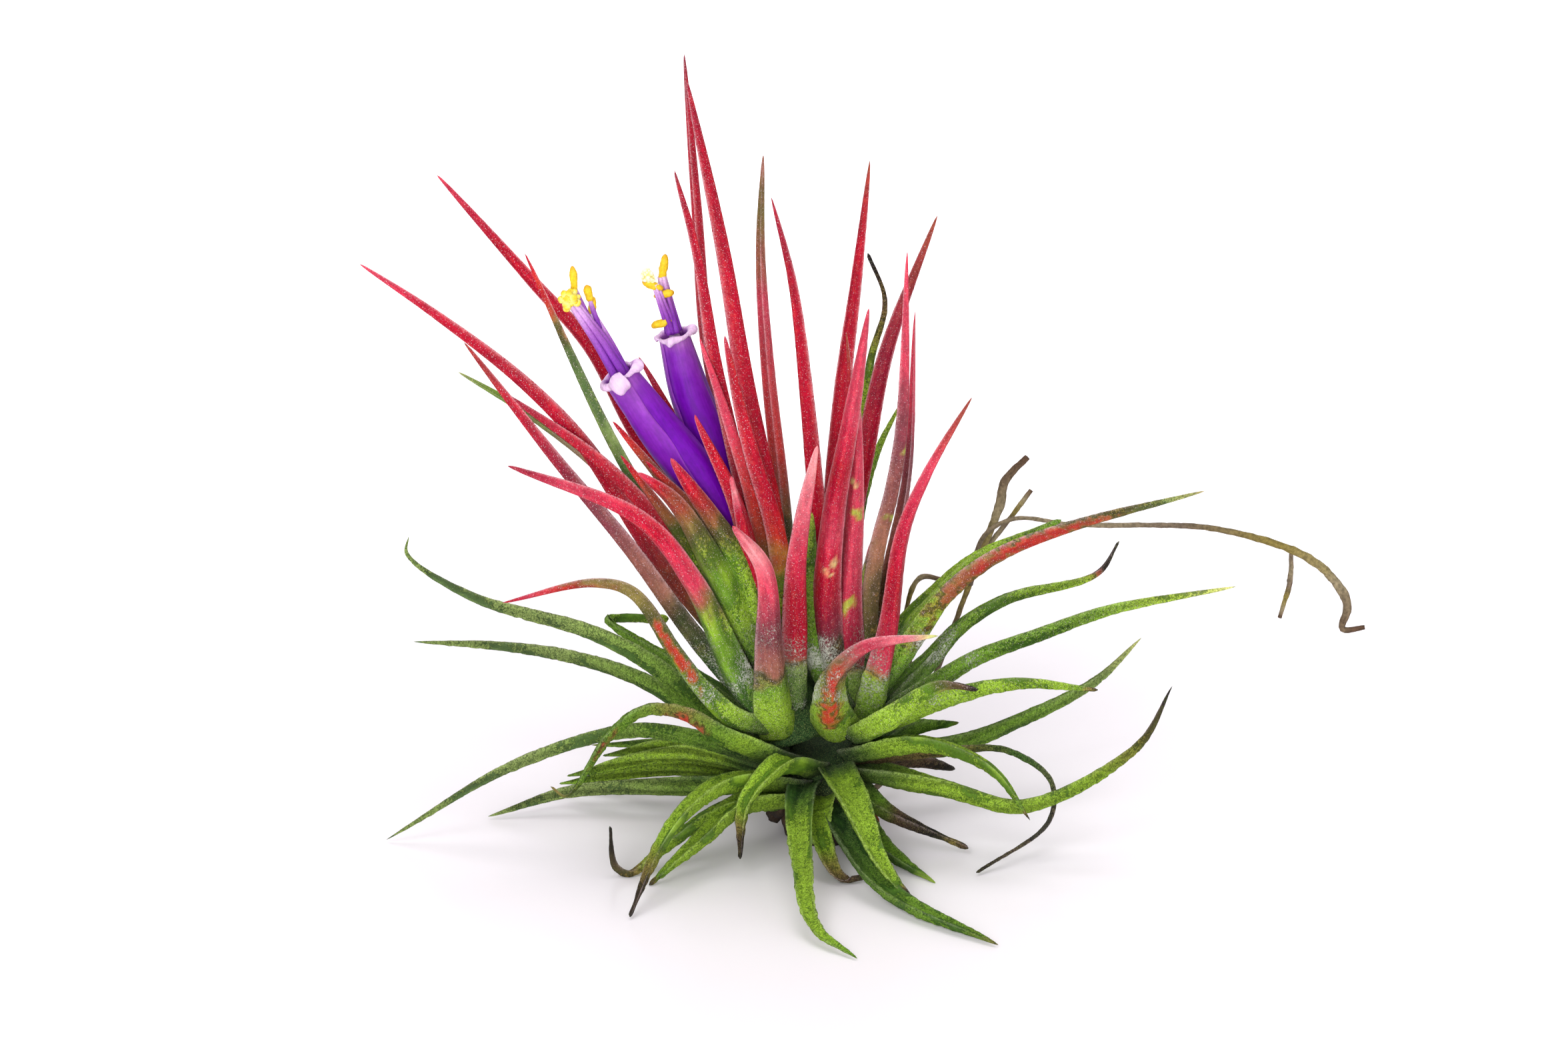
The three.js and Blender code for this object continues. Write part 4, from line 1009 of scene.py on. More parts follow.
class MeshMaker:
    """Puts surfaces into Blender as one mesh, with their tints and marks as attributes."""

    @staticmethod
    def piece(name: str, surfaces: list, material: bpy.types.Material) -> bpy.types.Object:
        """Builds one piece.

        Args:
            name: The piece's name.
            surfaces: Its closed skins.
            material: Its finish.

        Returns:
            The new object, at the origin.
        """
        corners, counted = [], 0
        for surface in surfaces:
            corners.append(surface.faces() + counted)
            counted += surface.points.shape[0] * surface.points.shape[1]
        corners = np.vstack(corners)
        points = np.vstack([s.points.reshape(-1, 3) for s in surfaces]) * METRE
        points[:, 2] = np.maximum(points[:, 2], 0)
        tints = np.vstack([s.tints.reshape(-1, 4) for s in surfaces])
        marks = np.vstack([s.marks.reshape(-1, 4) for s in surfaces])
        runs = np.vstack([s.runs.reshape(-1, 3) for s in surfaces])
        mesh = bpy.data.meshes.new(name)
        mesh.vertices.add(len(points))
        mesh.vertices.foreach_set("co", points.astype(np.float32).ravel())
        mesh.loops.add(corners.size)
        mesh.loops.foreach_set("vertex_index", corners.astype(np.int32).ravel())
        mesh.polygons.add(len(corners))
        mesh.polygons.foreach_set("loop_start", np.arange(0, corners.size, 4, dtype=np.int32))
        mesh.polygons.foreach_set("use_smooth", np.ones(len(corners), bool))
        for key, rows in (("tint", tints), ("marks", marks)):
            held = mesh.attributes.new(key, "FLOAT_COLOR", "POINT")
            held.data.foreach_set("color", rows.astype(np.float32).ravel())
        run = mesh.attributes.new("run", "FLOAT_VECTOR", "POINT")
        run.data.foreach_set("vector", runs.astype(np.float32).ravel())
        mesh.validate()
        mesh.update()
        mesh.materials.append(material)
        return placed(name, mesh)


class NodeTree:
    """Short ways to add and join shader nodes in one tree."""

    def __init__(self, tree: bpy.types.NodeTree) -> None:
        """Keeps the tree that the nodes go into."""
        self.tree = tree

    def add(self, kind: str, **settings: object) -> bpy.types.Node:
        """Adds a node and sets its properties."""
        made = self.tree.nodes.new(kind)
        for key, value in settings.items():
            setattr(made, key, value)
        return made

    def feed(self, socket: bpy.types.NodeSocket, value: object) -> None:
        """Joins a socket to another node's output, or sets its value."""
        if isinstance(value, bpy.types.NodeSocket):
            self.tree.links.new(value, socket)
        else:
            socket.default_value = value

    def maths(self, operation: str, first: object, second: object = 0.0) -> bpy.types.NodeSocket:
        """Works out one number from two."""
        node = self.add("ShaderNodeMath", operation=operation, use_clamp=False)
        self.feed(node.inputs[0], first)
        self.feed(node.inputs[1], second)
        return node.outputs[0]

    def plus(self, first: object, second: object) -> bpy.types.NodeSocket:
        """Adds two numbers."""
        return self.maths("ADD", first, second)

    def minus(self, first: object, second: object) -> bpy.types.NodeSocket:
        """Takes the second number from the first."""
        return self.maths("SUBTRACT", first, second)

    def times(self, first: object, second: object) -> bpy.types.NodeSocket:
        """Multiplies two numbers."""
        return self.maths("MULTIPLY", first, second)

    def most(self, first: object, second: object) -> bpy.types.NodeSocket:
        """Takes the larger of two numbers."""
        return self.maths("MAXIMUM", first, second)

    def tinted(self, first: object, second: object) -> bpy.types.NodeSocket:
        """Multiplies two colours, or a colour by a number."""
        return self.mix(1.0, first, second, "MULTIPLY")

    def read(self, name: str) -> bpy.types.NodeOutputs:
        """Reads an attribute of the mesh, and gives all its outputs."""
        return self.add("ShaderNodeAttribute", attribute_name=name).outputs

    def millimetres(self) -> bpy.types.NodeSocket:
        """Gives the place on the object in millimetres."""
        node = self.add("ShaderNodeVectorMath", operation="SCALE")
        self.feed(node.inputs[0], self.add("ShaderNodeTexCoord").outputs["Object"])
        node.inputs["Scale"].default_value = 1 / METRE
        return node.outputs[0]

    def stretched(self, place: object, amounts: tuple) -> bpy.types.NodeSocket:
        """Multiplies each part of a place by its own amount."""
        node = self.add("ShaderNodeVectorMath", operation="MULTIPLY")
        self.feed(node.inputs[0], place)
        node.inputs[1].default_value = amounts
        return node.outputs[0]

    def jittered(self, place: object, value: object, amount: float) -> bpy.types.NodeSocket:
        """Shifts a place by a value, so that a pattern on it bends."""
        node = self.add("ShaderNodeVectorMath", operation="ADD")
        self.feed(node.inputs[0], place)
        self.feed(node.inputs[1], self.times(value, amount))
        return node.outputs[0]

    def ramp(
        self, value: object, low: float, high: float, start: float = 0.0, end: float = 1.0
    ) -> bpy.types.NodeSocket:
        """Maps a value from between two bounds to between two others, smoothly."""
        node = self.add("ShaderNodeMapRange", interpolation_type="SMOOTHSTEP")
        self.feed(node.inputs["Value"], value)
        for key, bound in (("From Min", low), ("From Max", high), ("To Min", start), ("To Max", end)):
            node.inputs[key].default_value = bound
        return node.outputs["Result"]

    def mix(self, share: object, first: object, second: object, blend: str = "MIX") -> bpy.types.NodeSocket:
        """Mixes two colours."""
        node = self.add("ShaderNodeMix", data_type="RGBA", blend_type=blend, clamp_factor=True)
        self.feed(node.inputs["Factor"], share)
        self.feed(node.inputs["A"], first)
        self.feed(node.inputs["B"], second)
        return node.outputs["Result"]

    def noise(self, place: object, scale: float, detail: float, rough: float) -> bpy.types.NodeSocket:
        """Adds noise with so many bumps to the millimetre."""
        node = self.add("ShaderNodeTexNoise")
        self.feed(node.inputs["Vector"], place)
        node.inputs["Scale"].default_value = scale
        node.inputs["Detail"].default_value = detail
        node.inputs["Roughness"].default_value = rough
        return node.outputs["Fac"]

    def cells(self, place: object, scale: float, feature: str = "F1") -> bpy.types.Node:
        """Adds a pattern of cells, with so many to the millimetre."""
        node = self.add("ShaderNodeTexVoronoi", feature=feature)
        self.feed(node.inputs["Vector"], place)
        node.inputs["Scale"].default_value = scale
        return node


def shade(pigment: Pigment, alpha: float = 1.0) -> tuple:
    """Gives a pigment as a shader colour."""
    return (*(float(v) for v in linear(pigment.value)), alpha)


class ScalySkin:
    """The node group that all leaves share: crust, cracks, specks, flakes, ribs and margins."""

    NAME = "scaly_skin"

    # Noises: bumps to the millimetre, layers and roughness.
    GRAINS = (2.2, 4.0, 0.7)
    CRUMBS = (5.5, 3.0, 0.7)
    DUST = (12.0, 2.0, 0.6)
    FIBRES = (1.0, 3.0, 0.6)
    FIBRE_STRETCH = (0.45, 4.0, 1)
    SCRAPS = (4.6, 5.0, 0.85)

    # Cells to the millimetre.
    CRACKED = 1.8
    LARGE_DOTS = 3.6
    SMALL_DOTS = 6.4

    # Brightness: the bounds that a noise is read between, and the light at each of them.
    GRAIN_LIGHT = (0.3, 0.7, 0.84, 1.14)
    CRUMB_LIGHT = (0.3, 0.7, 0.86, 1.12)
    FIBRE_LIGHT = (0.36, 0.64, 0.85, 1.12)
    CRUST_LIGHT = (0.36, 0.6, 0.62, 1.24)
    DUST_LIGHT = (0.36, 0.62, 0.76, 1.24)
    WORN_TINT = (0.3, 0.4, 0.42, 1)

    # How rough the skin is with no crust, and with this much of it.
    GLOSS = (0.0, 0.8, 0.48, 0.85)

    # Edges: where a value starts to count, and where it counts in full.
    COVER_EDGE = (0.4, 0.47)
    COVER_CRUST = (0.1, 0.5)
    BARE_CRUST = (0.05, 0.3)
    CRACK_EDGE = (0.1, 0.04)
    CRACK_CRUST = (0.25, 0.5)
    CRACK_PLACES = (0.48, 0.58)
    PALE_DUST = (0.55, 0.7)
    LARGE_CHOSEN = (0.34, 0.4)
    LARGE_EDGE = (0.24, 0.11)
    SMALL_EDGE = (0.28, 0.13)
    SCRAP_EDGE = (0.88, 0.94)
    RIDGE_EDGE = (-0.8, 0.6)
    PALED_PLACES = (0.45, 0.6)
    RIM_EDGE = (0.36, 0.52)

    @classmethod
    def group(cls) -> bpy.types.NodeTree:
        """Builds the group once.

        A leaf's tint is mottled by noise and by fibres along it. Crust covers it in bright
        crumbs and leaves dark worn patches and cracks. Specks are small pale dots, one to a
        cell. Flakes are silver scraps round the sheath. Ribs groove it, with painted shade in
        the grooves and a little painted light on the ridges, and the margin is paler.

        Returns:
            The group, which puts out a colour, a roughness and a height.
        """
        made = bpy.data.node_groups.get(cls.NAME)
        if made:
            return made
        made = bpy.data.node_groups.new(cls.NAME, "ShaderNodeTree")
        for way, kind, names in (
            ("INPUT", "Color", ("Tint",)),
            ("INPUT", "Vector", ("Run",)),
            ("INPUT", "Float", ("Margin", "Crust", "Specks", "Flakes", "Ribs")),
            ("OUTPUT", "Color", ("Colour",)),
            ("OUTPUT", "Float", ("Roughness", "Height")),
        ):
            for name in names:
                made.interface.new_socket(name, in_out=way, socket_type=f"NodeSocket{kind}")
        tree = NodeTree(made)
        given = tree.add("NodeGroupInput").outputs
        tint, crust, ribs = given["Tint"], given["Crust"], given["Ribs"]
        here = tree.millimetres()

        grains = tree.noise(here, *cls.GRAINS)
        crumbs = tree.noise(here, *cls.CRUMBS)
        dust = tree.noise(here, *cls.DUST)
        fibres = tree.noise(tree.stretched(given["Run"], cls.FIBRE_STRETCH), *cls.FIBRES)

        level = tree.times(tree.ramp(grains, *cls.GRAIN_LIGHT), tree.ramp(crumbs, *cls.CRUMB_LIGHT))
        level = tree.times(level, tree.ramp(fibres, *cls.FIBRE_LIGHT))
        colour = tree.tinted(tint, level)

        ragged = tree.plus(crust, tree.times(tree.minus(grains, 0.5), 0.9))
        ragged = tree.plus(ragged, tree.times(tree.minus(crumbs, 0.5), 0.35))
        cover = tree.ramp(ragged, *cls.COVER_EDGE)
        bare = tree.times(tree.minus(1.0, cover), tree.ramp(crust, *cls.BARE_CRUST))
        bent = tree.jittered(here, grains, 1.2)
        cells = tree.cells(bent, cls.CRACKED, "DISTANCE_TO_EDGE").outputs["Distance"]
        cracks = tree.times(tree.ramp(cells, *cls.CRACK_EDGE), tree.ramp(crust, *cls.CRACK_CRUST))
        cracks = tree.times(cracks, tree.ramp(grains, *cls.CRACK_PLACES))
        crumb_level = tree.times(tree.ramp(crumbs, *cls.CRUST_LIGHT), tree.ramp(dust, *cls.DUST_LIGHT))
        pale = tree.times(tree.ramp(dust, *cls.PALE_DUST), 0.3)
        crumb_colour = tree.mix(pale, tree.tinted(tint, crumb_level), shade(P.PALE_LIME))
        colour = tree.mix(tree.times(cover, tree.ramp(crust, *cls.COVER_CRUST)), colour, crumb_colour)
        worn_colour = tree.tinted(tree.tinted(tint, cls.WORN_TINT), level)
        colour = tree.mix(tree.times(tree.most(bare, tree.times(cracks, 0.8)), 0.92), colour, worn_colour)

        large, small = tree.cells(here, cls.LARGE_DOTS), tree.cells(here, cls.SMALL_DOTS)
        chosen = tree.ramp(large.outputs["Color"], *cls.LARGE_CHOSEN)
        dots = tree.times(tree.ramp(large.outputs["Distance"], *cls.LARGE_EDGE), chosen)
        dots = tree.most(dots, tree.times(tree.ramp(small.outputs["Distance"], *cls.SMALL_EDGE), 0.6))
        dots = tree.times(dots, given["Specks"])
        frosted = tree.mix(0.6, tint, shade(P.FROST))
        colour = tree.mix(tree.times(dots, 0.8), colour, frosted)

        scraps = tree.plus(tree.times(given["Flakes"], 0.4), tree.noise(here, *cls.SCRAPS))
        scraps = tree.ramp(scraps, *cls.SCRAP_EDGE)
        colour = tree.mix(tree.times(scraps, 0.85), colour, shade(P.SILVER))
        across = tree.add("ShaderNodeSeparateXYZ")
        tree.feed(across.inputs[0], given["Run"])
        wave = tree.maths("COSINE", tree.times(across.outputs["Y"], 2 * math.pi / RIB_GAP))
        ridge = tree.ramp(tree.plus(wave, tree.times(tree.minus(fibres, 0.5), 3.0)), *cls.RIDGE_EDGE)
        # Painted shade in the grooves between the ribs, and a little painted light on their ridges.
        rib_painted_light_and_shade = tree.tinted(colour, tree.plus(tree.times(ridge, 0.62), 0.5))
        colour = tree.mix(ribs, colour, rib_painted_light_and_shade)
        paled = tree.times(tree.times(ribs, ridge), tree.ramp(grains, *cls.PALED_PLACES))
        colour = tree.mix(tree.times(paled, 0.35), colour, shade(P.SAGE))
        rim = tree.times(given["Margin"], tree.ramp(crumbs, *cls.RIM_EDGE))
        colour = tree.mix(tree.times(rim, 0.6), colour, frosted)

        height = tree.times(cover, tree.plus(tree.times(crumbs, 1.1), 0.35))
        height = tree.minus(height, tree.times(cracks, 0.5))
        for part, share in ((dots, 0.35), (scraps, 0.5), (fibres, tree.plus(ribs, 0.3)), (dust, 0.25)):
            height = tree.plus(height, tree.times(part, share))
        roughness = tree.ramp(tree.plus(crust, given["Flakes"]), *cls.GLOSS)

        out = tree.add("NodeGroupOutput")
        for name, value in (("Colour", colour), ("Roughness", roughness), ("Height", height)):
            tree.feed(out.inputs[name], value)
        return made


@dataclass(frozen=True)
class Finish:
    """What all finishes share: a name, a gloss and how light passes into the surface."""

    name: str
    specular: float = 0.4
    soak: float = 0.0  # how much light passes under the surface
    soak_depth: float = 0.6  # in millimetres

    SOAK_COLOUR = (1.0, 0.6, 0.5)  # how far each colour of light passes

    def start(self) -> tuple:
        """Begins a material with one shader.

        Returns:
            The material, a NodeTree for it and its shader node.
        """
        material = bpy.data.materials.new(self.name)
        material.use_nodes = True
        tree = NodeTree(material.node_tree)
        shader = material.node_tree.nodes["Principled BSDF"]
        shader.inputs["Specular IOR Level"].default_value = self.specular
        shader.inputs["Subsurface Weight"].default_value = self.soak
        shader.inputs["Subsurface Radius"].default_value = self.SOAK_COLOUR
        shader.inputs["Subsurface Scale"].default_value = self.soak_depth * METRE
        return material, tree, shader

    @staticmethod
    def bump(tree: NodeTree, shader: bpy.types.Node, height: object, strength: float, reach: float) -> None:
        """Joins a height to the shader's normal, for relief too fine for the mesh."""
        node = tree.add("ShaderNodeBump")
        node.inputs["Strength"].default_value = strength
        node.inputs["Distance"].default_value = reach * METRE
        tree.feed(node.inputs["Height"], height)
        tree.feed(shader.inputs["Normal"], node.outputs["Normal"])


@dataclass(frozen=True)
class LeafFinish(Finish):
    """A leaf's skin, which reads its tint and marks from the mesh."""

    relief: float = 0.12

    BUMP = 0.8

    def material(self) -> bpy.types.Material:
        """Builds the material."""
        material, tree, shader = self.start()
        tint, marks = tree.read("tint"), tree.read("marks")
        parts = tree.add("ShaderNodeSeparateXYZ")
        tree.feed(parts.inputs[0], marks["Vector"])
        skin = tree.add("ShaderNodeGroup", node_tree=ScalySkin.group())
        for name, value in (
            ("Tint", tint["Color"]), ("Margin", tint["Alpha"]), ("Crust", parts.outputs["X"]),
            ("Specks", parts.outputs["Y"]), ("Flakes", parts.outputs["Z"]), ("Ribs", marks["Alpha"]),
            ("Run", tree.read("run")["Vector"]),
        ):
            tree.feed(skin.inputs[name], value)
        tree.feed(shader.inputs["Base Color"], skin.outputs["Colour"])
        tree.feed(shader.inputs["Roughness"], skin.outputs["Roughness"])
        self.bump(tree, shader, skin.outputs["Height"], self.BUMP, self.relief)
        return material


@dataclass(frozen=True)
class SmoothFinish(Finish):
    """Petals, filaments, anthers and roots: a tint with grain, and a plain roughness."""

    roughness: float = 0.45
    grain_scale: float = 2.0
    grain_share: float = 0.15
    vein_share: float = 0.3
    vein_stretch: tuple = (0.4, 4.0, 1.0)
    relief: float = 0.05

    VEINS = (1.0, 3.0, 0.6)  # bumps to the millimetre, layers and roughness
    GRAIN = (4.0, 0.65)  # layers and roughness
    EDGES = (0.3, 0.7)  # the bounds that the grain is read between
    ROUGHNESS_SPAN = 0.06
    BUMP = 0.6

    def material(self) -> bpy.types.Material:
        """Builds the material."""
        material, tree, shader = self.start()
        tint, run = tree.read("tint")["Color"], tree.read("run")["Vector"]
        veins = tree.noise(tree.stretched(run, self.vein_stretch), *self.VEINS)
        speckle = tree.noise(tree.millimetres(), self.grain_scale, *self.GRAIN)
        speckle = tree.plus(tree.times(speckle, 1 - self.vein_share), tree.times(veins, self.vein_share))
        level = tree.ramp(speckle, *self.EDGES, 1 - self.grain_share, 1 + self.grain_share)
        tree.feed(shader.inputs["Base Color"], tree.tinted(tint, level))
        low, high = self.roughness - self.ROUGHNESS_SPAN, self.roughness + self.ROUGHNESS_SPAN
        tree.feed(shader.inputs["Roughness"], tree.ramp(speckle, *self.EDGES, low, high))
        self.bump(tree, shader, speckle, self.BUMP, self.relief)
        return material


RED_LEAF_SKIN = LeafFinish("red_leaf_skin", specular=0.14, soak=0.05, relief=0.14)
GREEN_LEAF_SKIN = LeafFinish("green_leaf_skin", specular=0.14, relief=0.3)
PETAL_SKIN = SmoothFinish(
    "petal_skin", specular=0.15, soak=0.2, soak_depth=0.3, roughness=0.42, grain_scale=1.5, grain_share=0.2,
    vein_share=0.6, relief=0.06,
)
STAMEN_SKIN = SmoothFinish(
    "stamen_skin", soak=0.1, roughness=0.55, grain_scale=6.0, grain_share=0.25, relief=0.06
)
DRY_BARK = SmoothFinish(
    "dry_bark", specular=0.2, roughness=0.85, grain_scale=2.6, grain_share=0.45, relief=0.2
)


def show(piece: bpy.types.Object, slot: str, *nodes: str) -> None:
    """Ties a piece to the plant and hides the solids it stands for."""
    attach(piece, "root")
    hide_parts(*nodes)
    log.info("%s: %d faces", piece.name, len(piece.data.polygons))


@dataclass
class Rosette:
    """A head of leaves: its named leaves, the arcs at its back and its core."""

    name: str
    head: Head
    leaves: dict
    core: tuple  # rows of place and radius
    core_stops: tuple
    finish: Finish
    slot: str
    node: str
    seed: int

    BACK_SEED = 100  # how far the back leaves' seeds are from the named ones'
    CORE_MESH = (24, 0.5)  # sides and gap between rings
    CORE_MARKS = (0.8, 0, 0.2, 0)
    CORE_LUMPS = Grain(1.2, 3, 0.15, 200)

    def build(self, draws: Draws) -> None:
        """Builds the leaves and the core as two pieces, each with every other named leaf."""
        skins = [
            self.head.leaf(shape, sight(shape.path), self.seed + i)
            for i, shape in enumerate(self.leaves.values())
        ]
        backs = [
            self.head.leaf(shape, points, self.seed + self.BACK_SEED + i)
            for i, (shape, points) in enumerate(BACK_WHORLS[self.name].arcs(draws))
        ]
        rows = np.array(self.core)
        core = strand(rows, *self.CORE_MESH, self.core_stops, self.CORE_MARKS)
        core.roughen(self.CORE_LUMPS, self.seed)
        material = self.finish.material()
        halves = {"front": skins[1::2] + [core], "rear": skins[0::2] + backs}
        for half, surfaces in halves.items():
            show(MeshMaker.piece(f"{self.name}_leaves_{half}", surfaces, material), self.slot, self.node)


PETAL_STOPS = (
    (0, P.PURPLE), (0.2, P.VIOLET), (0.6, P.VIOLET), (0.74, P.PURPLE), (0.8, P.LILAC), (0.84, P.PALE_LIP),
    (1, P.PALE_LIP),
)
FILAMENT_STOPS = ((0, P.PURPLE), (0.25, P.PURPLE), (0.6, P.LILAC), (1, P.PALE_LIP))
ANTHER_STOPS = ((0, P.OCHRE), (0.25, P.POLLEN), (0.8, P.POLLEN), (1, P.OCHRE))
PETAL_GRAIN = Grain(1.2, 3, 0.04, 8)
ANTHER_LUMPS = Grain(0.9, 3, 0.2, 60)
ANTHER_CRUMBS = Grain(0.28, 3, 0.07, 70)
STIGMA_CRUMBS = Grain(0.35, 3, 0.12, 80)
PETALS = 3


@dataclass
class Flower:
    """A tubular flower: three wrapped petals with curled lips, and what stands in them."""

    name: str
    tube: tuple  # rows of across, up, back and radius
    filaments: tuple
    anthers: tuple
    stigma: tuple
    stigma_stops: tuple
    turn: float  # how far round the first petal starts
    lips: tuple  # radius of each petal's rolled lip
    # The lilac towards one margin is partly painted light and shade: lighter where a petal lies over its
    # neighbour, deeper violet where its neighbour's margin lies over it.
    paleness: float  # how lilac the petals are towards one margin
    petal_arc: float = math.radians(156)
    thick: float = 0.16
    overlap: float = 0.2
    lobes: tuple = (0.0, 0.0, 0.0)  # where across each petal its lip is largest
    wrap: float = 0.0  # how far round the petals turn from the tube's foot to its mouth
    lip_turn: float = math.radians(265)

    POINTS_ACROSS = 40
    RING_GAP = 0.3
    LIP_RINGS = 33
    WAVE = 0.25
    RUFFLE = 0.22
    LOBE_LEAST = 0.3
    LOBE_SPREAD = 0.6
    LIP_SHRINK = 0.35  # how much smaller the lip's roll is at its end
    LIP_NARROWING = 0.55
    LIP_THINNING = 0.5
    FOLD = 0.1
    FINE_FOLD = 0.04
    LIP_START = 0.8  # where the lip starts in the petal's stops of colour
    PALE_START = 0.35
    PALE_SPAN = 1.3
    PALE_FOOT = 0.3  # how far up the petal it starts to be lilac
    PALE_RISE = 0.35
    PALE_LEAST = 0.1
    RIM_START = 0.93
    RIM_SPAN = 0.06
    RIM_SHARE = 0.7
    BUNDLE = 5  # strands in a thick filament
    BUNDLED_FROM = 0.4  # a filament thicker than this radius is a bundle
    BUNDLE_WIDTH = 0.95  # how far its strands stand from its middle, for its radius
    BUNDLE_CLOSING = 0.45  # what is left of that at its end
    STRAND_SHARE = 0.55  # a strand's radius for its bundle's
    STRAND_TAPER = 0.6
    STRAND_MESH = (10, 0.3)  # sides and gap between rings
    PLUG_MESH = (16, 0.4)
    PLUG = ((-MOUTH_DEPTH, 0.6), (-1.2, 0.62), (0.2, 0.3))  # places up from the mouth, shares of its radius
    ANTHER_SHARE = 0.88  # what the crumbs leave of an anther's radius
    ANTHER_SIDES = 20
    LUMPS = 48  # beads in a stigma
    LUMP_SIDES = 10
    LUMP_SEED = 31
    LUMP_REACHES = (0.35, 0.8)  # shares of the stigma's radius, as the sizes are
    LUMP_SIZES = (0.16, 0.34)
    LUMP_START = 0.6  # where a bead starts, as a share of its reach

    def axis(self) -> tuple:
        """Works out the tube's middle line, its radii and its frame.

        Returns:
            Points, radii, directions along, to the side and to the front.
        """
        rows = np.array(self.tube, float)
        points = curve_through(sight(rows), DENSE_STEPS)
        widths = np.column_stack([np.arange(len(rows)), rows[:, 3], 0 * rows[:, 3]])
        radii = curve_through(widths, DENSE_STEPS)[:, 1]
        line = spaced(np.column_stack([points, radii]), self.RING_GAP)
        along = unit(np.gradient(line[:, :3], axis=0))
        side = unit(np.array([0.0, 1, 0]) - along[:, 1:2] * along)
        return line[:, :3], line[:, 3], along, side, np.cross(along, side)

    def petal(self, index: int) -> Surface:
        """Builds one petal: a curved sheet round the tube, whose lip rolls outwards.

        A point's distance from the tube's middle is the tube's radius, plus a little more
        towards one margin so that it overlaps the next petal. Past the mouth the sheet
        follows a circle outwards and back down. The circle's size waves along the lip, and
        the lip narrows to its end.

        Args:
            index: Which petal it is.

        Returns:
            The petal's closed skin.
        """
        centres, radii, along, side, face = self.axis()
        across = np.linspace(-1, 1, self.POINTS_ACROSS)
        roll = np.linspace(0, self.lip_turn, self.LIP_RINGS + 1)[1:, None]
        share = roll / self.lip_turn
        last = np.full(len(roll), len(radii) - 1)
        rows = np.concatenate([np.arange(len(radii)), last])
        wave = 1 + self.WAVE * np.sin(across * 4.5 + index * 1.7 + 2.4 * share)
        ruffle = self.RUFFLE * share * np.sin(across * 9 + index + 3 * share)
        off_lobe = (across - self.lobes[index]) / self.LOBE_SPREAD
        lobe = self.LOBE_LEAST + (1 - self.LOBE_LEAST) * np.exp(-(off_lobe**2))
        curl = self.lips[index] * (wave + ruffle) * lobe * (1 - self.LIP_SHRINK * share)
        flat = np.zeros((len(radii), len(across)))
        flare = np.concatenate([flat, curl * (1 - np.cos(roll))])
        rise = np.concatenate([flat, curl * np.sin(roll)])
        drawn_in = self.lobes[index] + (across - self.lobes[index]) * (1 - self.LIP_NARROWING * share)
        spread = np.concatenate([flat + across, drawn_in])
        edge = np.linspace(0, 1, len(rows))[:, None]
        slip = np.concatenate([self.wrap * np.linspace(-1, 0, len(radii)), 0 * roll[:, 0]])
        bearing = self.turn + index * 2 * math.pi / PETALS + slip[:, None] + spread * self.petal_arc / 2
        folds = self.FOLD * np.sin(edge * 9 + index * 2) + self.FINE_FOLD * np.sin(edge * 31)
        bearing = bearing + folds * across**2
        reach = radii[rows][:, None] - self.thick + self.overlap * (1 + across) / 2 + flare
        sideways = side[rows][:, None] * np.cos(bearing)[..., None]
        spoke = sideways + face[rows][:, None] * np.sin(bearing)[..., None]
        outer = centres[rows][:, None] + along[rows][:, None] * rise[..., None] + spoke * reach[..., None]
        tilt = np.concatenate([np.zeros(len(radii)), roll[:, 0]])[:, None, None]
        normal = spoke * np.cos(tilt) - along[rows][:, None] * np.sin(tilt)
        thin = self.thick * np.concatenate([flat + 1, 1 - self.LIP_THINNING * share + 0 * across])[..., None]
        skin = np.concatenate([outer, (outer - normal * thin)[:, ::-1]], axis=1)
        return self.coloured(skin, len(radii), across, index)

    def coloured(self, skin: Array, tube_rows: int, across: Array, index: int) -> Surface:
        """Colours a petal: violet low down, lilac towards its outer margin, partly as painted light and
        shade, nearly white lips.

        Args:
            skin: The petal's points, in rings.
            tube_rows: How many rings the tube has.
            across: The place across the petal of each point of its outer side.
            index: Which petal it is.

        Returns:
            The petal's skin.
        """
        lip_rows = len(skin) - tube_rows
        tube, lip = np.linspace(0, self.LIP_START, tube_rows), np.linspace(self.LIP_START, 1, lip_rows)
        place = np.concatenate([tube, lip])[:, None]
        wide = np.concatenate([across, across[::-1]])[None]
        blur = PETAL_GRAIN.at(skin, index)
        colour = paint(PETAL_STOPS, np.clip(place + blur, 0, 1))
        whole = np.ones(colour.shape[:2])
        # Partly painted light and shade: lilac towards the margin that lies over the next petal, deeper
        # violet under the neighbour's margin.
        sideways = np.clip((wide + self.PALE_START + 4 * blur) / self.PALE_SPAN, 0, 1) ** 1.5
        light = sideways * np.clip((place - self.PALE_FOOT) / self.PALE_RISE, self.PALE_LEAST, 1)
        rim = np.clip((np.abs(wide) - self.RIM_START) / self.RIM_SPAN, 0, 1) * self.RIM_SHARE
        light = np.maximum(light * self.paleness, rim)
        light = np.where(place < self.LIP_START, light, 0)[..., None]
        colour = colour * (1 - light) + np.array(P.LILAC.value) * light
        girth = np.arange(skin.shape[1])[None] * 0.12 * whole
        runs = np.dstack([np.arange(len(skin))[:, None] * self.RING_GAP * whole, girth, 0 * whole])
        return Surface(skin, np.dstack([linear(colour), 0 * whole]), np.zeros(skin.shape[:2] + (4,)), runs)

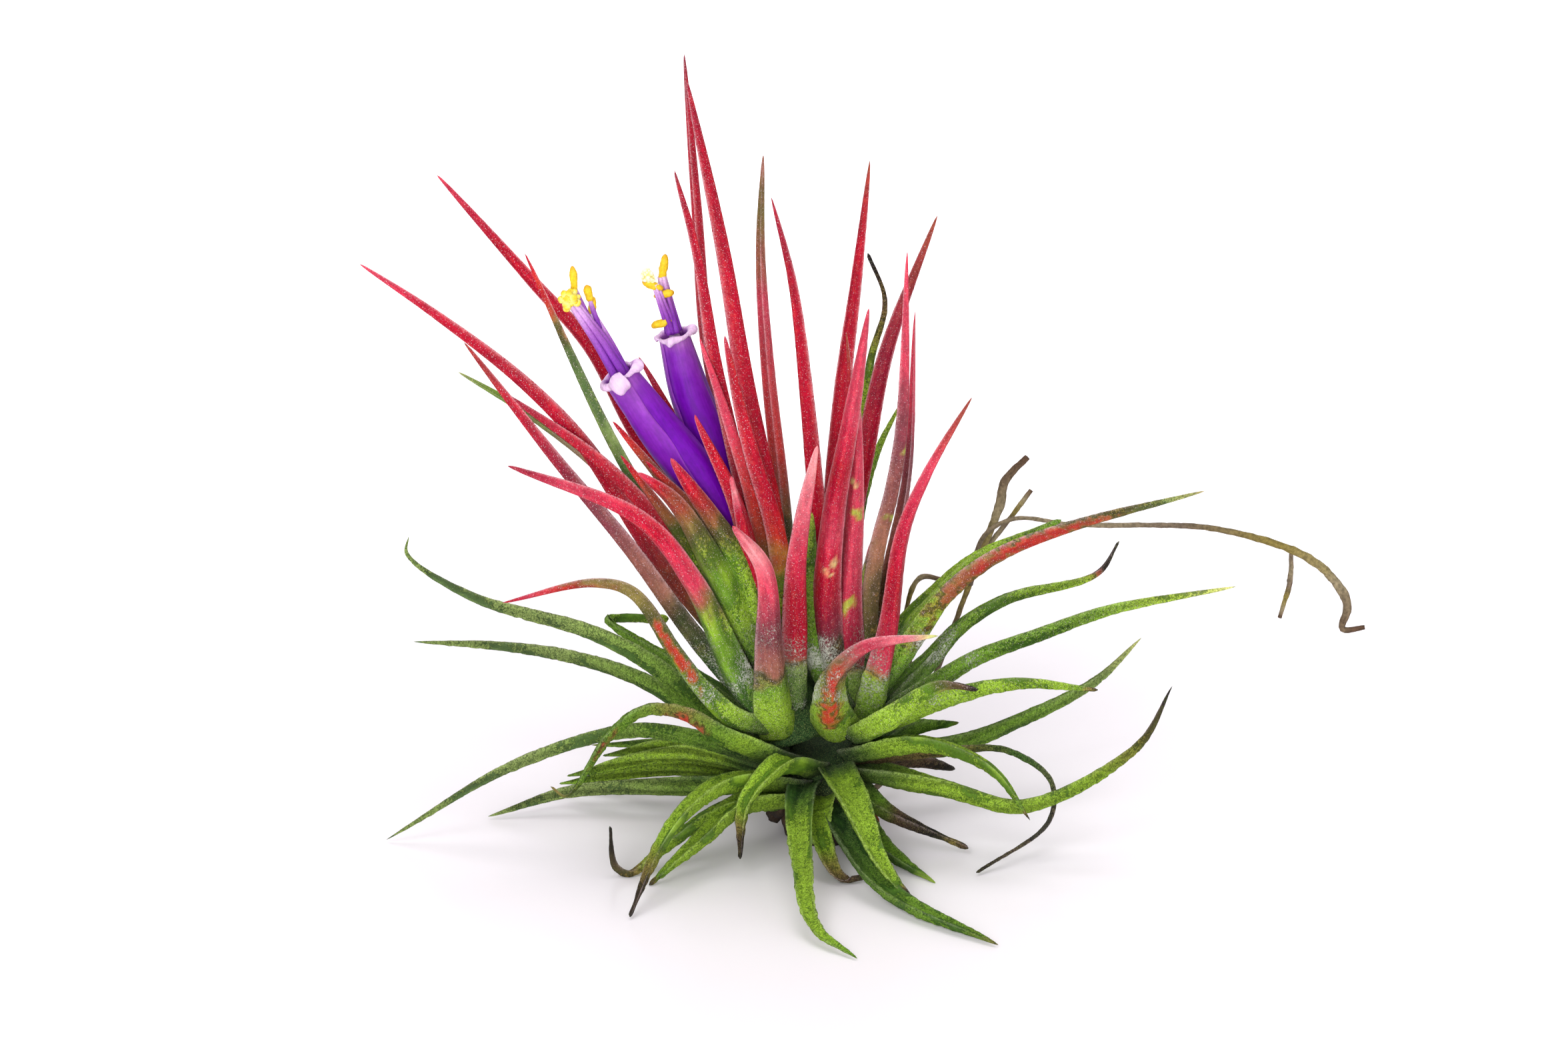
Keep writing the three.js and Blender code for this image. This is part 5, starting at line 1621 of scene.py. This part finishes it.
    def threads(self) -> list:
        """Builds the filaments as bundles of thin tapering strands, and fills the mouth.

        Returns:
            Their skins.
        """
        centres, radii, along, side, face = self.axis()
        made = []
        for number, (radius, *path) in enumerate(self.filaments):
            spine = sight(path)
            bundled = radius > self.BUNDLED_FROM
            for k in range(self.BUNDLE if bundled else 1):
                turn = 2 * math.pi * k / self.BUNDLE + number * 0.7
                spoke = side[-1] * math.cos(turn) + face[-1] * math.sin(turn)
                offset = spoke * radius * self.BUNDLE_WIDTH * bundled
                spread = np.linspace(1, self.BUNDLE_CLOSING, len(spine))[:, None]
                thin = radius * (self.STRAND_SHARE if bundled else 1)
                thin = thin * np.linspace(1, self.STRAND_TAPER, len(spine))
                rows = np.column_stack([spine + offset * spread, thin])
                made.append(strand(rows, *self.STRAND_MESH, FILAMENT_STOPS))
        plug = np.array(self.PLUG)
        rows = np.column_stack([centres[-1] + along[-1] * plug[:, :1], radii[-1] * plug[:, 1]])
        made.append(strand(rows, *self.PLUG_MESH, FILAMENT_STOPS))
        return made

    def pollen(self) -> list:
        """Builds the anthers as grainy beads, and the stigma as a lumpy ball of small beads.

        Returns:
            Their skins.
        """
        made = []
        for number, (radius, start, end) in enumerate(self.anthers):
            ends = sight(start)[0], sight(end)[0]
            anther = bead(*ends, radius * self.ANTHER_SHARE, self.ANTHER_SIDES, ANTHER_STOPS)
            anther.roughen(ANTHER_LUMPS, number)
            anther.roughen(ANTHER_CRUMBS, number)
            made.append(anther)
        radius, place = self.stigma
        centre = sight(place)[0]
        draws = np.random.default_rng(self.LUMP_SEED + len(self.anthers))
        ways = unit(draws.normal(size=(self.LUMPS, 3)))
        reaches = radius * draws.uniform(*self.LUMP_REACHES, self.LUMPS)
        sizes = radius * draws.uniform(*self.LUMP_SIZES, self.LUMPS)
        for k, (way, reach, size) in enumerate(zip(ways, reaches, sizes)):
            foot = centre + way * reach * self.LUMP_START
            lump = bead(foot, centre + way * reach, size, self.LUMP_SIDES, self.stigma_stops)
            lump.roughen(STIGMA_CRUMBS, k)
            made.append(lump)
        return made

    def build(self) -> None:
        """Builds the petals and the stamens as two pieces."""
        petals, stamens = f"{self.name}_petals", f"{self.name}_stamens"
        sheets = [self.petal(i) for i in range(PETALS)]
        show(MeshMaker.piece(petals, sheets, PETAL_SKIN.material()), "petal", petals)
        strands = self.threads() + self.pollen()
        show(MeshMaker.piece(stamens, strands, STAMEN_SKIN.material()), "stamen", stamens)


@dataclass
class StemAndRoots:
    """The woody stem that the plant stands on, its old leaf bases and its dry roots."""

    roots: dict
    scales: int = 16
    scale_length: float = 3.6

    MIDDLE_HEIGHT = 1.6
    MIDDLE_RADIUS = 4.4
    SCALE_RISE = 2.6  # how much higher the last old leaf base stands than the first
    SCALE_ROOT = 3.2  # how far from the stem's middle they start
    SCALE_OUT = 3.6  # how far from it they come out
    SCALE_WIDTHS = (2.0, 2.4)
    SCALE_LIFT = 0.5
    SCALE_DROP = 0.7
    SCALE_LOWEST = 0.5
    ROOT_MESH = (12, 0.3)  # sides and gap between rings
    STEM_MESH = (48, 0.3)
    ROOT_SHARE = 0.62  # what a root has of its radius where it doesn't bulge
    BULGE = 0.5  # how much more it has where it bulges
    BULGE_PLACE = 0.72
    BULGE_SPREAD = 0.2
    KNOTS = 0.12
    GOLDEN_ANGLE = math.pi * (3 - math.sqrt(5))
    STEM_LUMPS = Grain(0.9, 3, 0.2, 300)
    ROOT_WRINKLES = Grain(0.6, 3, 0.14, 340)
    BASE_SEED = 320
    ROOT_STOPS = (
        (0, P.ROOT_DARK), (0.3, P.ROOT), (0.5, P.ROOT_DARK), (0.7, P.OLIVE), (0.85, P.ROOT), (1, P.BARK),
    )

    def stem(self) -> Surface:
        """Builds the stem: a rough cone that widens upwards, with a flat foot."""
        middle, top = (self.MIDDLE_HEIGHT, self.MIDDLE_RADIUS), (STEM_HEIGHT, STEM_TOP_RADIUS)
        rings = ((0, STEM_FOOT_RADIUS), middle, top)
        rows = np.array([[0, 0, height, radius] for height, radius in rings])
        stem = strand(rows, *self.STEM_MESH, ((0, P.DRY_BLACK), (0.6, P.BARK), (1, P.BARK)))
        stem.roughen(self.STEM_LUMPS, 0)
        stem.points[0, :, 2] = 0
        return stem

    def leaf_bases(self) -> list:
        """Builds short dry leaf bases that stand out round the stem, by the golden angle."""
        base = Head(
            np.array([0.0, 0, 0]), np.array([0.0, 0, 1]), taper=0.5, row_gap=0.3, sides=14, crust=0.15,
            specks=0, flakes=0, relief=0.3,
        )
        made = []
        for k in range(self.scales):
            bearing = k * self.GOLDEN_ANGLE
            out = np.array([math.cos(bearing), math.sin(bearing), 0])
            low = self.MIDDLE_HEIGHT + self.SCALE_RISE * k / self.scales
            long = self.scale_length * (0.7 + 0.3 * math.sin(k * 2.3))
            reaches = (self.SCALE_ROOT, self.SCALE_OUT + long * 0.35, self.SCALE_OUT + long * 0.7)
            points = np.array([out * reach for reach in reaches])
            points[:, 2] = [low, low + self.SCALE_LIFT, max(low - self.SCALE_DROP, self.SCALE_LOWEST)]
            coat = Coat.OLD_NODE if k % 5 == 0 else Coat.DEAD
            shape = Leaf(*self.SCALE_WIDTHS, coat, (), blunt=0.8)
            made.append(base.leaf(shape, points, self.BASE_SEED + k))
        return made

    def root(self, number: int, radius: float, path: tuple) -> Surface:
        """Builds one root as a wrinkled strand that is thickest past its middle.

        Args:
            number: Its place in the table, which picks its noise.
            radius: What its thickness is reckoned from.
            path: Its points as seen.

        Returns:
            The root's skin.
        """
        points = sight(path)
        shares = np.linspace(0, 1, len(points))
        bulge = self.BULGE * np.exp(-(((shares - self.BULGE_PLACE) / self.BULGE_SPREAD) ** 2))
        swell = self.ROOT_SHARE + bulge + self.KNOTS * np.sin(shares * 9 + number)
        made = strand(np.column_stack([points, radius * swell]), *self.ROOT_MESH, self.ROOT_STOPS)
        made.roughen(self.ROOT_WRINKLES, number)
        return made

    def build(self) -> None:
        """Builds the stem, the leaf bases and the roots as one piece."""
        roots = [self.root(i, *row) for i, row in enumerate(self.roots.values())]
        skins = [self.stem(), *self.leaf_bases(), *roots]
        show(MeshMaker.piece("stem_and_roots", skins, DRY_BARK.material()), "stem", "stem_with_roots")


ROOTS = {
    "twisted": (0.45, (
        (2.5, 2.6, 3), (6, 5.1, 8), (9.2, 10.5, 11.5), (13.8, 22, 15), (16.2, 28.6, 16), (18.2, 33.5, 17),
        (18.8, 36.2, 17), (21.1, 38.7, 17),
    )),
    "spur": (0.4, ((16.2, 28.6, 16), (19.2, 32.2, 18), (21.5, 35.3, 19))),
    "long": (0.42, (
        (15.2, 25.5, 15.4), (16.6, 30.5, 14.6), (19.6, 32.3, 14.5), (26, 31.7, 16), (41, 31.2, 19),
        (51, 27.7, 21.3), (54.2, 23.5, 22), (53.7, 20.9, 22), (56, 21.1, 22),
    )),
    "branch": (0.35, ((48.4, 28.9, 20.8), (48.3, 26, 21), (47.2, 22.1, 21))),
    "arch": (0.3, ((10, 13, 12.2), (8.5, 22, 13.5), (10, 26.2, 14), (12.5, 26, 14))),
}

LEFT_FLOWER = Flower(
    name="left_flower",
    tube=(
        (-8.3, 29, -2, 1.2), (-11, 33.4, -2.3, 1.9), (-14, 37.8, -2.6, 2.35), (-16.8, 41.3, -2.7, 2.25),
        (-21, 47.1, -3, 1.75),
    ),
    filaments=(
        (0.75, (-20.6, 46.6, -3), (-23.2, 50.8, -3.5), (-26.2, 55, -3.8)),
        (0.7, (-20.6, 46.6, -3), (-22.4, 50.4, -2.4), (-24.1, 53.6, -2.2)),
        (0.35, (-23.6, 51.6, -3.2), (-25.4, 55.4, -3.2), (-25.9, 56.6, -3.2)),
        (0.35, (-23.2, 52, -2.6), (-24.3, 55.4, -2.4)),
    ),
    anthers=(
        (0.45, (-25.8, 56, -3.2), (-25.95, 58.1, -3.2)),
        (0.5, (-24.2, 55.1, -2.4), (-24.4, 56.1, -2.4)),
        (0.45, (-24.1, 52.5, -2.1), (-23.8, 54.9, -2.1)),
    ),
    stigma=(1.2, (-26.3, 55.05, -4)),
    stigma_stops=((0, P.STIGMA), (0.7, P.STIGMA), (1, P.POLLEN)),
    turn=math.radians(248),
    lips=(0.5, 0.6, 1.05),
    lobes=(0.2, 0.0, 0.75),
    wrap=0.7,
    lip_turn=math.radians(320),
    paleness=0.65,
)

RIGHT_FLOWER = Flower(
    name="right_flower",
    tube=(
        (-7.6, 30, 1.2, 1.2), (-9.6, 34.5, 1.4, 1.7), (-11.8, 40.2, 1.6, 2.15), (-13.8, 45.5, 1.8, 2.1),
        (-15.4, 51.2, 1.8, 1.6),
    ),
    filaments=(
        (0.65, (-15.5, 51.6, 1.8), (-16, 54, 2), (-16.7, 57.4, 2.1)),
        (0.5, (-15.5, 51.6, 1.8), (-16.3, 53.6, 1.3), (-17.4, 56.6, 1)),
    ),
    anthers=(
        (0.48, (-16.7, 57, 2.1), (-16.4, 59.3, 2.1)),
        (0.42, (-18.4, 56.8, 1), (-16.9, 56.2, 1)),
        (0.42, (-17.2, 55.4, 1.3), (-15.8, 55.7, 1.3)),
        (0.45, (-17.4, 52.3, 1.2), (-16, 52.8, 1.3)),
    ),
    stigma=(0.9, (-18.2, 57.4, 1)),
    stigma_stops=((0, P.DOWN), (0.6, P.STIGMA), (1, P.DOWN)),
    turn=math.radians(170),
    lips=(0.4, 0.45, 0.4),
    paleness=0.45,
)


class Studio:
    """The pale floor, the soft light and the camera at the photograph's angle."""

    FLOOR_HALF_WIDTH = 2.5  # in metres, as the profile and the lamps' places and sides
    FLOOR_PROFILE = (  # how far back and how high
        (-2.0, 0), (1.2, 0), (1.5, 0.03), (1.75, 0.14), (1.92, 0.35), (2.0, 0.7), (2.0, 2.6),
    )
    FLOOR_COLOUR = (0.855, 0.815, 0.855, 1)
    FLOOR_GLOW = (35.0, 150.0, 0.0, 0.5)  # millimetres from the plant, and the light at each
    WHITE = (1, 1, 1, 1)
    WORLD_LIGHT = 0.42
    LAMP_AIM = (0, 0, 0.03)
    LAMPS = {  # place, side and watts
        "key_lamp": ((-0.3, -0.6, 0.6), 0.45, 3.5),
        "fill_lamp": ((0.6, -0.4, 0.4), 0.6, 1.3),
        "low_lamp": ((-0.1, -0.85, 0.16), 0.5, 5.2),
        "top_lamp": ((0.05, 0.15, 0.85), 0.5, 2.9),
    }

    def floor(self) -> None:
        """Builds a wide pale floor that turns up into a backdrop far behind the plant."""
        across = np.array([-self.FLOOR_HALF_WIDTH, self.FLOOR_HALF_WIDTH])
        profile = np.array(self.FLOOR_PROFILE)
        points = np.stack(np.broadcast_arrays(across[:, None], profile[:, 0], profile[:, 1]), axis=-1)
        count = len(profile)
        faces = [(i, i + count, i + count + 1, i + 1) for i in range(count - 1)]
        mesh = bpy.data.meshes.new("studio_floor")
        mesh.from_pydata(points.reshape(-1, 3).tolist(), [], faces)
        mesh.update()
        material = bpy.data.materials.new("pale_floor")
        material.use_nodes = True
        tree = NodeTree(material.node_tree)
        shader = material.node_tree.nodes["Principled BSDF"]
        reach = tree.add("ShaderNodeVectorMath", operation="LENGTH")
        tree.feed(reach.inputs[0], tree.millimetres())
        glow = tree.tinted(self.WHITE, tree.ramp(reach.outputs["Value"], *self.FLOOR_GLOW))
        for name, value in (
            ("Base Color", self.FLOOR_COLOUR), ("Emission Strength", 1.0), ("Emission Color", glow),
            ("Roughness", 0.3), ("Specular IOR Level", 0.35),
        ):
            tree.feed(shader.inputs[name], value)
        mesh.materials.append(material)
        made = placed("studio_floor", mesh)

    def lamp(self, name: str, place: tuple, size: float, power: float) -> None:
        """Hangs a square soft lamp that points at the plant.

        Args:
            name: The lamp's name.
            place: Where it hangs, in metres.
            size: The length of its side.
            power: Its strength in watts.
        """
        light = bpy.data.lights.new(name, "AREA")
        light.size = size
        light.energy = power
        away = unit(np.array(place, float) - np.array(self.LAMP_AIM, float))
        side = unit(np.cross((0, 0, 1), away))
        turned = np.column_stack([side, np.cross(away, side), away])
        made = placed(name, light)
        made.matrix_world = Matrix.Translation(place) @ Matrix(turned.tolist()).to_4x4()

    def camera(self) -> None:
        """Places the camera on the line of sight that the plant's points are given in."""
        lens = bpy.data.cameras.new("camera")
        lens.sensor_width = SENSOR_WIDTH
        lens.lens = SENSOR_WIDTH * EYE_DISTANCE / FRAME_WIDTH
        lens.clip_start, lens.clip_end = CLIP_RANGE
        made = placed("camera", lens)
        turned = np.column_stack([(1, 0, 0), VIEW_UP, VIEW_BACK])
        made.matrix_world = Matrix.Translation(EYE * METRE) @ Matrix(turned.tolist()).to_4x4()
        bpy.context.scene.camera = made

    def build(self) -> None:
        """Builds the whole studio."""
        self.camera()
        self.floor()
        for name, (place, size, power) in self.LAMPS.items():
            self.lamp(name, place, size, power)
        world = bpy.data.worlds.new("studio")
        world.use_nodes = True
        world.node_tree.nodes["Background"].inputs["Color"].default_value = self.WHITE
        world.node_tree.nodes["Background"].inputs["Strength"].default_value = self.WORLD_LIGHT
        bpy.context.scene.world = world
        bpy.context.scene.view_settings.view_transform = "Standard"


def core_rows(rows: tuple, seen: bool) -> tuple:
    """Places a core's rows of place and radius, which may be given as seen."""
    places = sight([row[:3] for row in rows]) if seen else np.array([row[:3] for row in rows], float)
    return tuple(map(tuple, np.column_stack([places, [row[3] for row in rows]])))


# The cores are dark with painted shade, where the leaves crowd over them.
CORE_STOPS = ((0, P.PAINTED_SHADE_GREEN), (0.6, P.PAINTED_SHADE_GREEN), (1, P.DARK_GREEN))
LOWER_CORE_STOPS = ((0, P.DRY_BLACK), (1, P.PAINTED_SHADE_GREEN))
FLOWERING_CORE = core_rows(((-3.2, 10.4, 0, 4.0), (-4.6, 15, 0, 3.6), (-8, 26, 0, 1.5)), seen=True)
SIDE_CORE = core_rows(((4.6, 10.4, 0.5, 2.8), (4.3, 15, 0.5, 2.4), (4.2, 24, 0.5, 1.1)), seen=True)
LOWER_CORE = core_rows(((0.2, 0.6, 3.62, 4.5), (0, 0.3, 6.5, 4.8), (-0.2, 0, 8.6, 3.6)), seen=False)

ROSETTES = (
    Rosette(
        "flowering", FLOWERING_HEAD, FLOWERING_LEAVES, FLOWERING_CORE, CORE_STOPS, RED_LEAF_SKIN,
        slot="red_leaf", node="flowering_head_leaves", seed=1000,
    ),
    Rosette(
        "side", SIDE_HEAD, SIDE_LEAVES, SIDE_CORE, CORE_STOPS, RED_LEAF_SKIN,
        slot="pink_leaf", node="side_head_leaves", seed=2000,
    ),
    Rosette(
        "lower", LOWER_WHORL, LOWER_LEAVES, LOWER_CORE, LOWER_CORE_STOPS, GREEN_LEAF_SKIN,
        slot="green_leaf", node="lower_green_leaves", seed=3000,
    ),
)


def main() -> None:
    """Builds the studio and the plant's pieces in order."""
    Studio().build()
    draws = Draws()
    for rosette in ROSETTES:
        rosette.build(draws)
    LEFT_FLOWER.build()
    RIGHT_FLOWER.build()
    StemAndRoots(ROOTS).build()


if __name__ == "__main__":
    logging.basicConfig(level=logging.INFO, format="%(name)s: %(message)s")
    main()
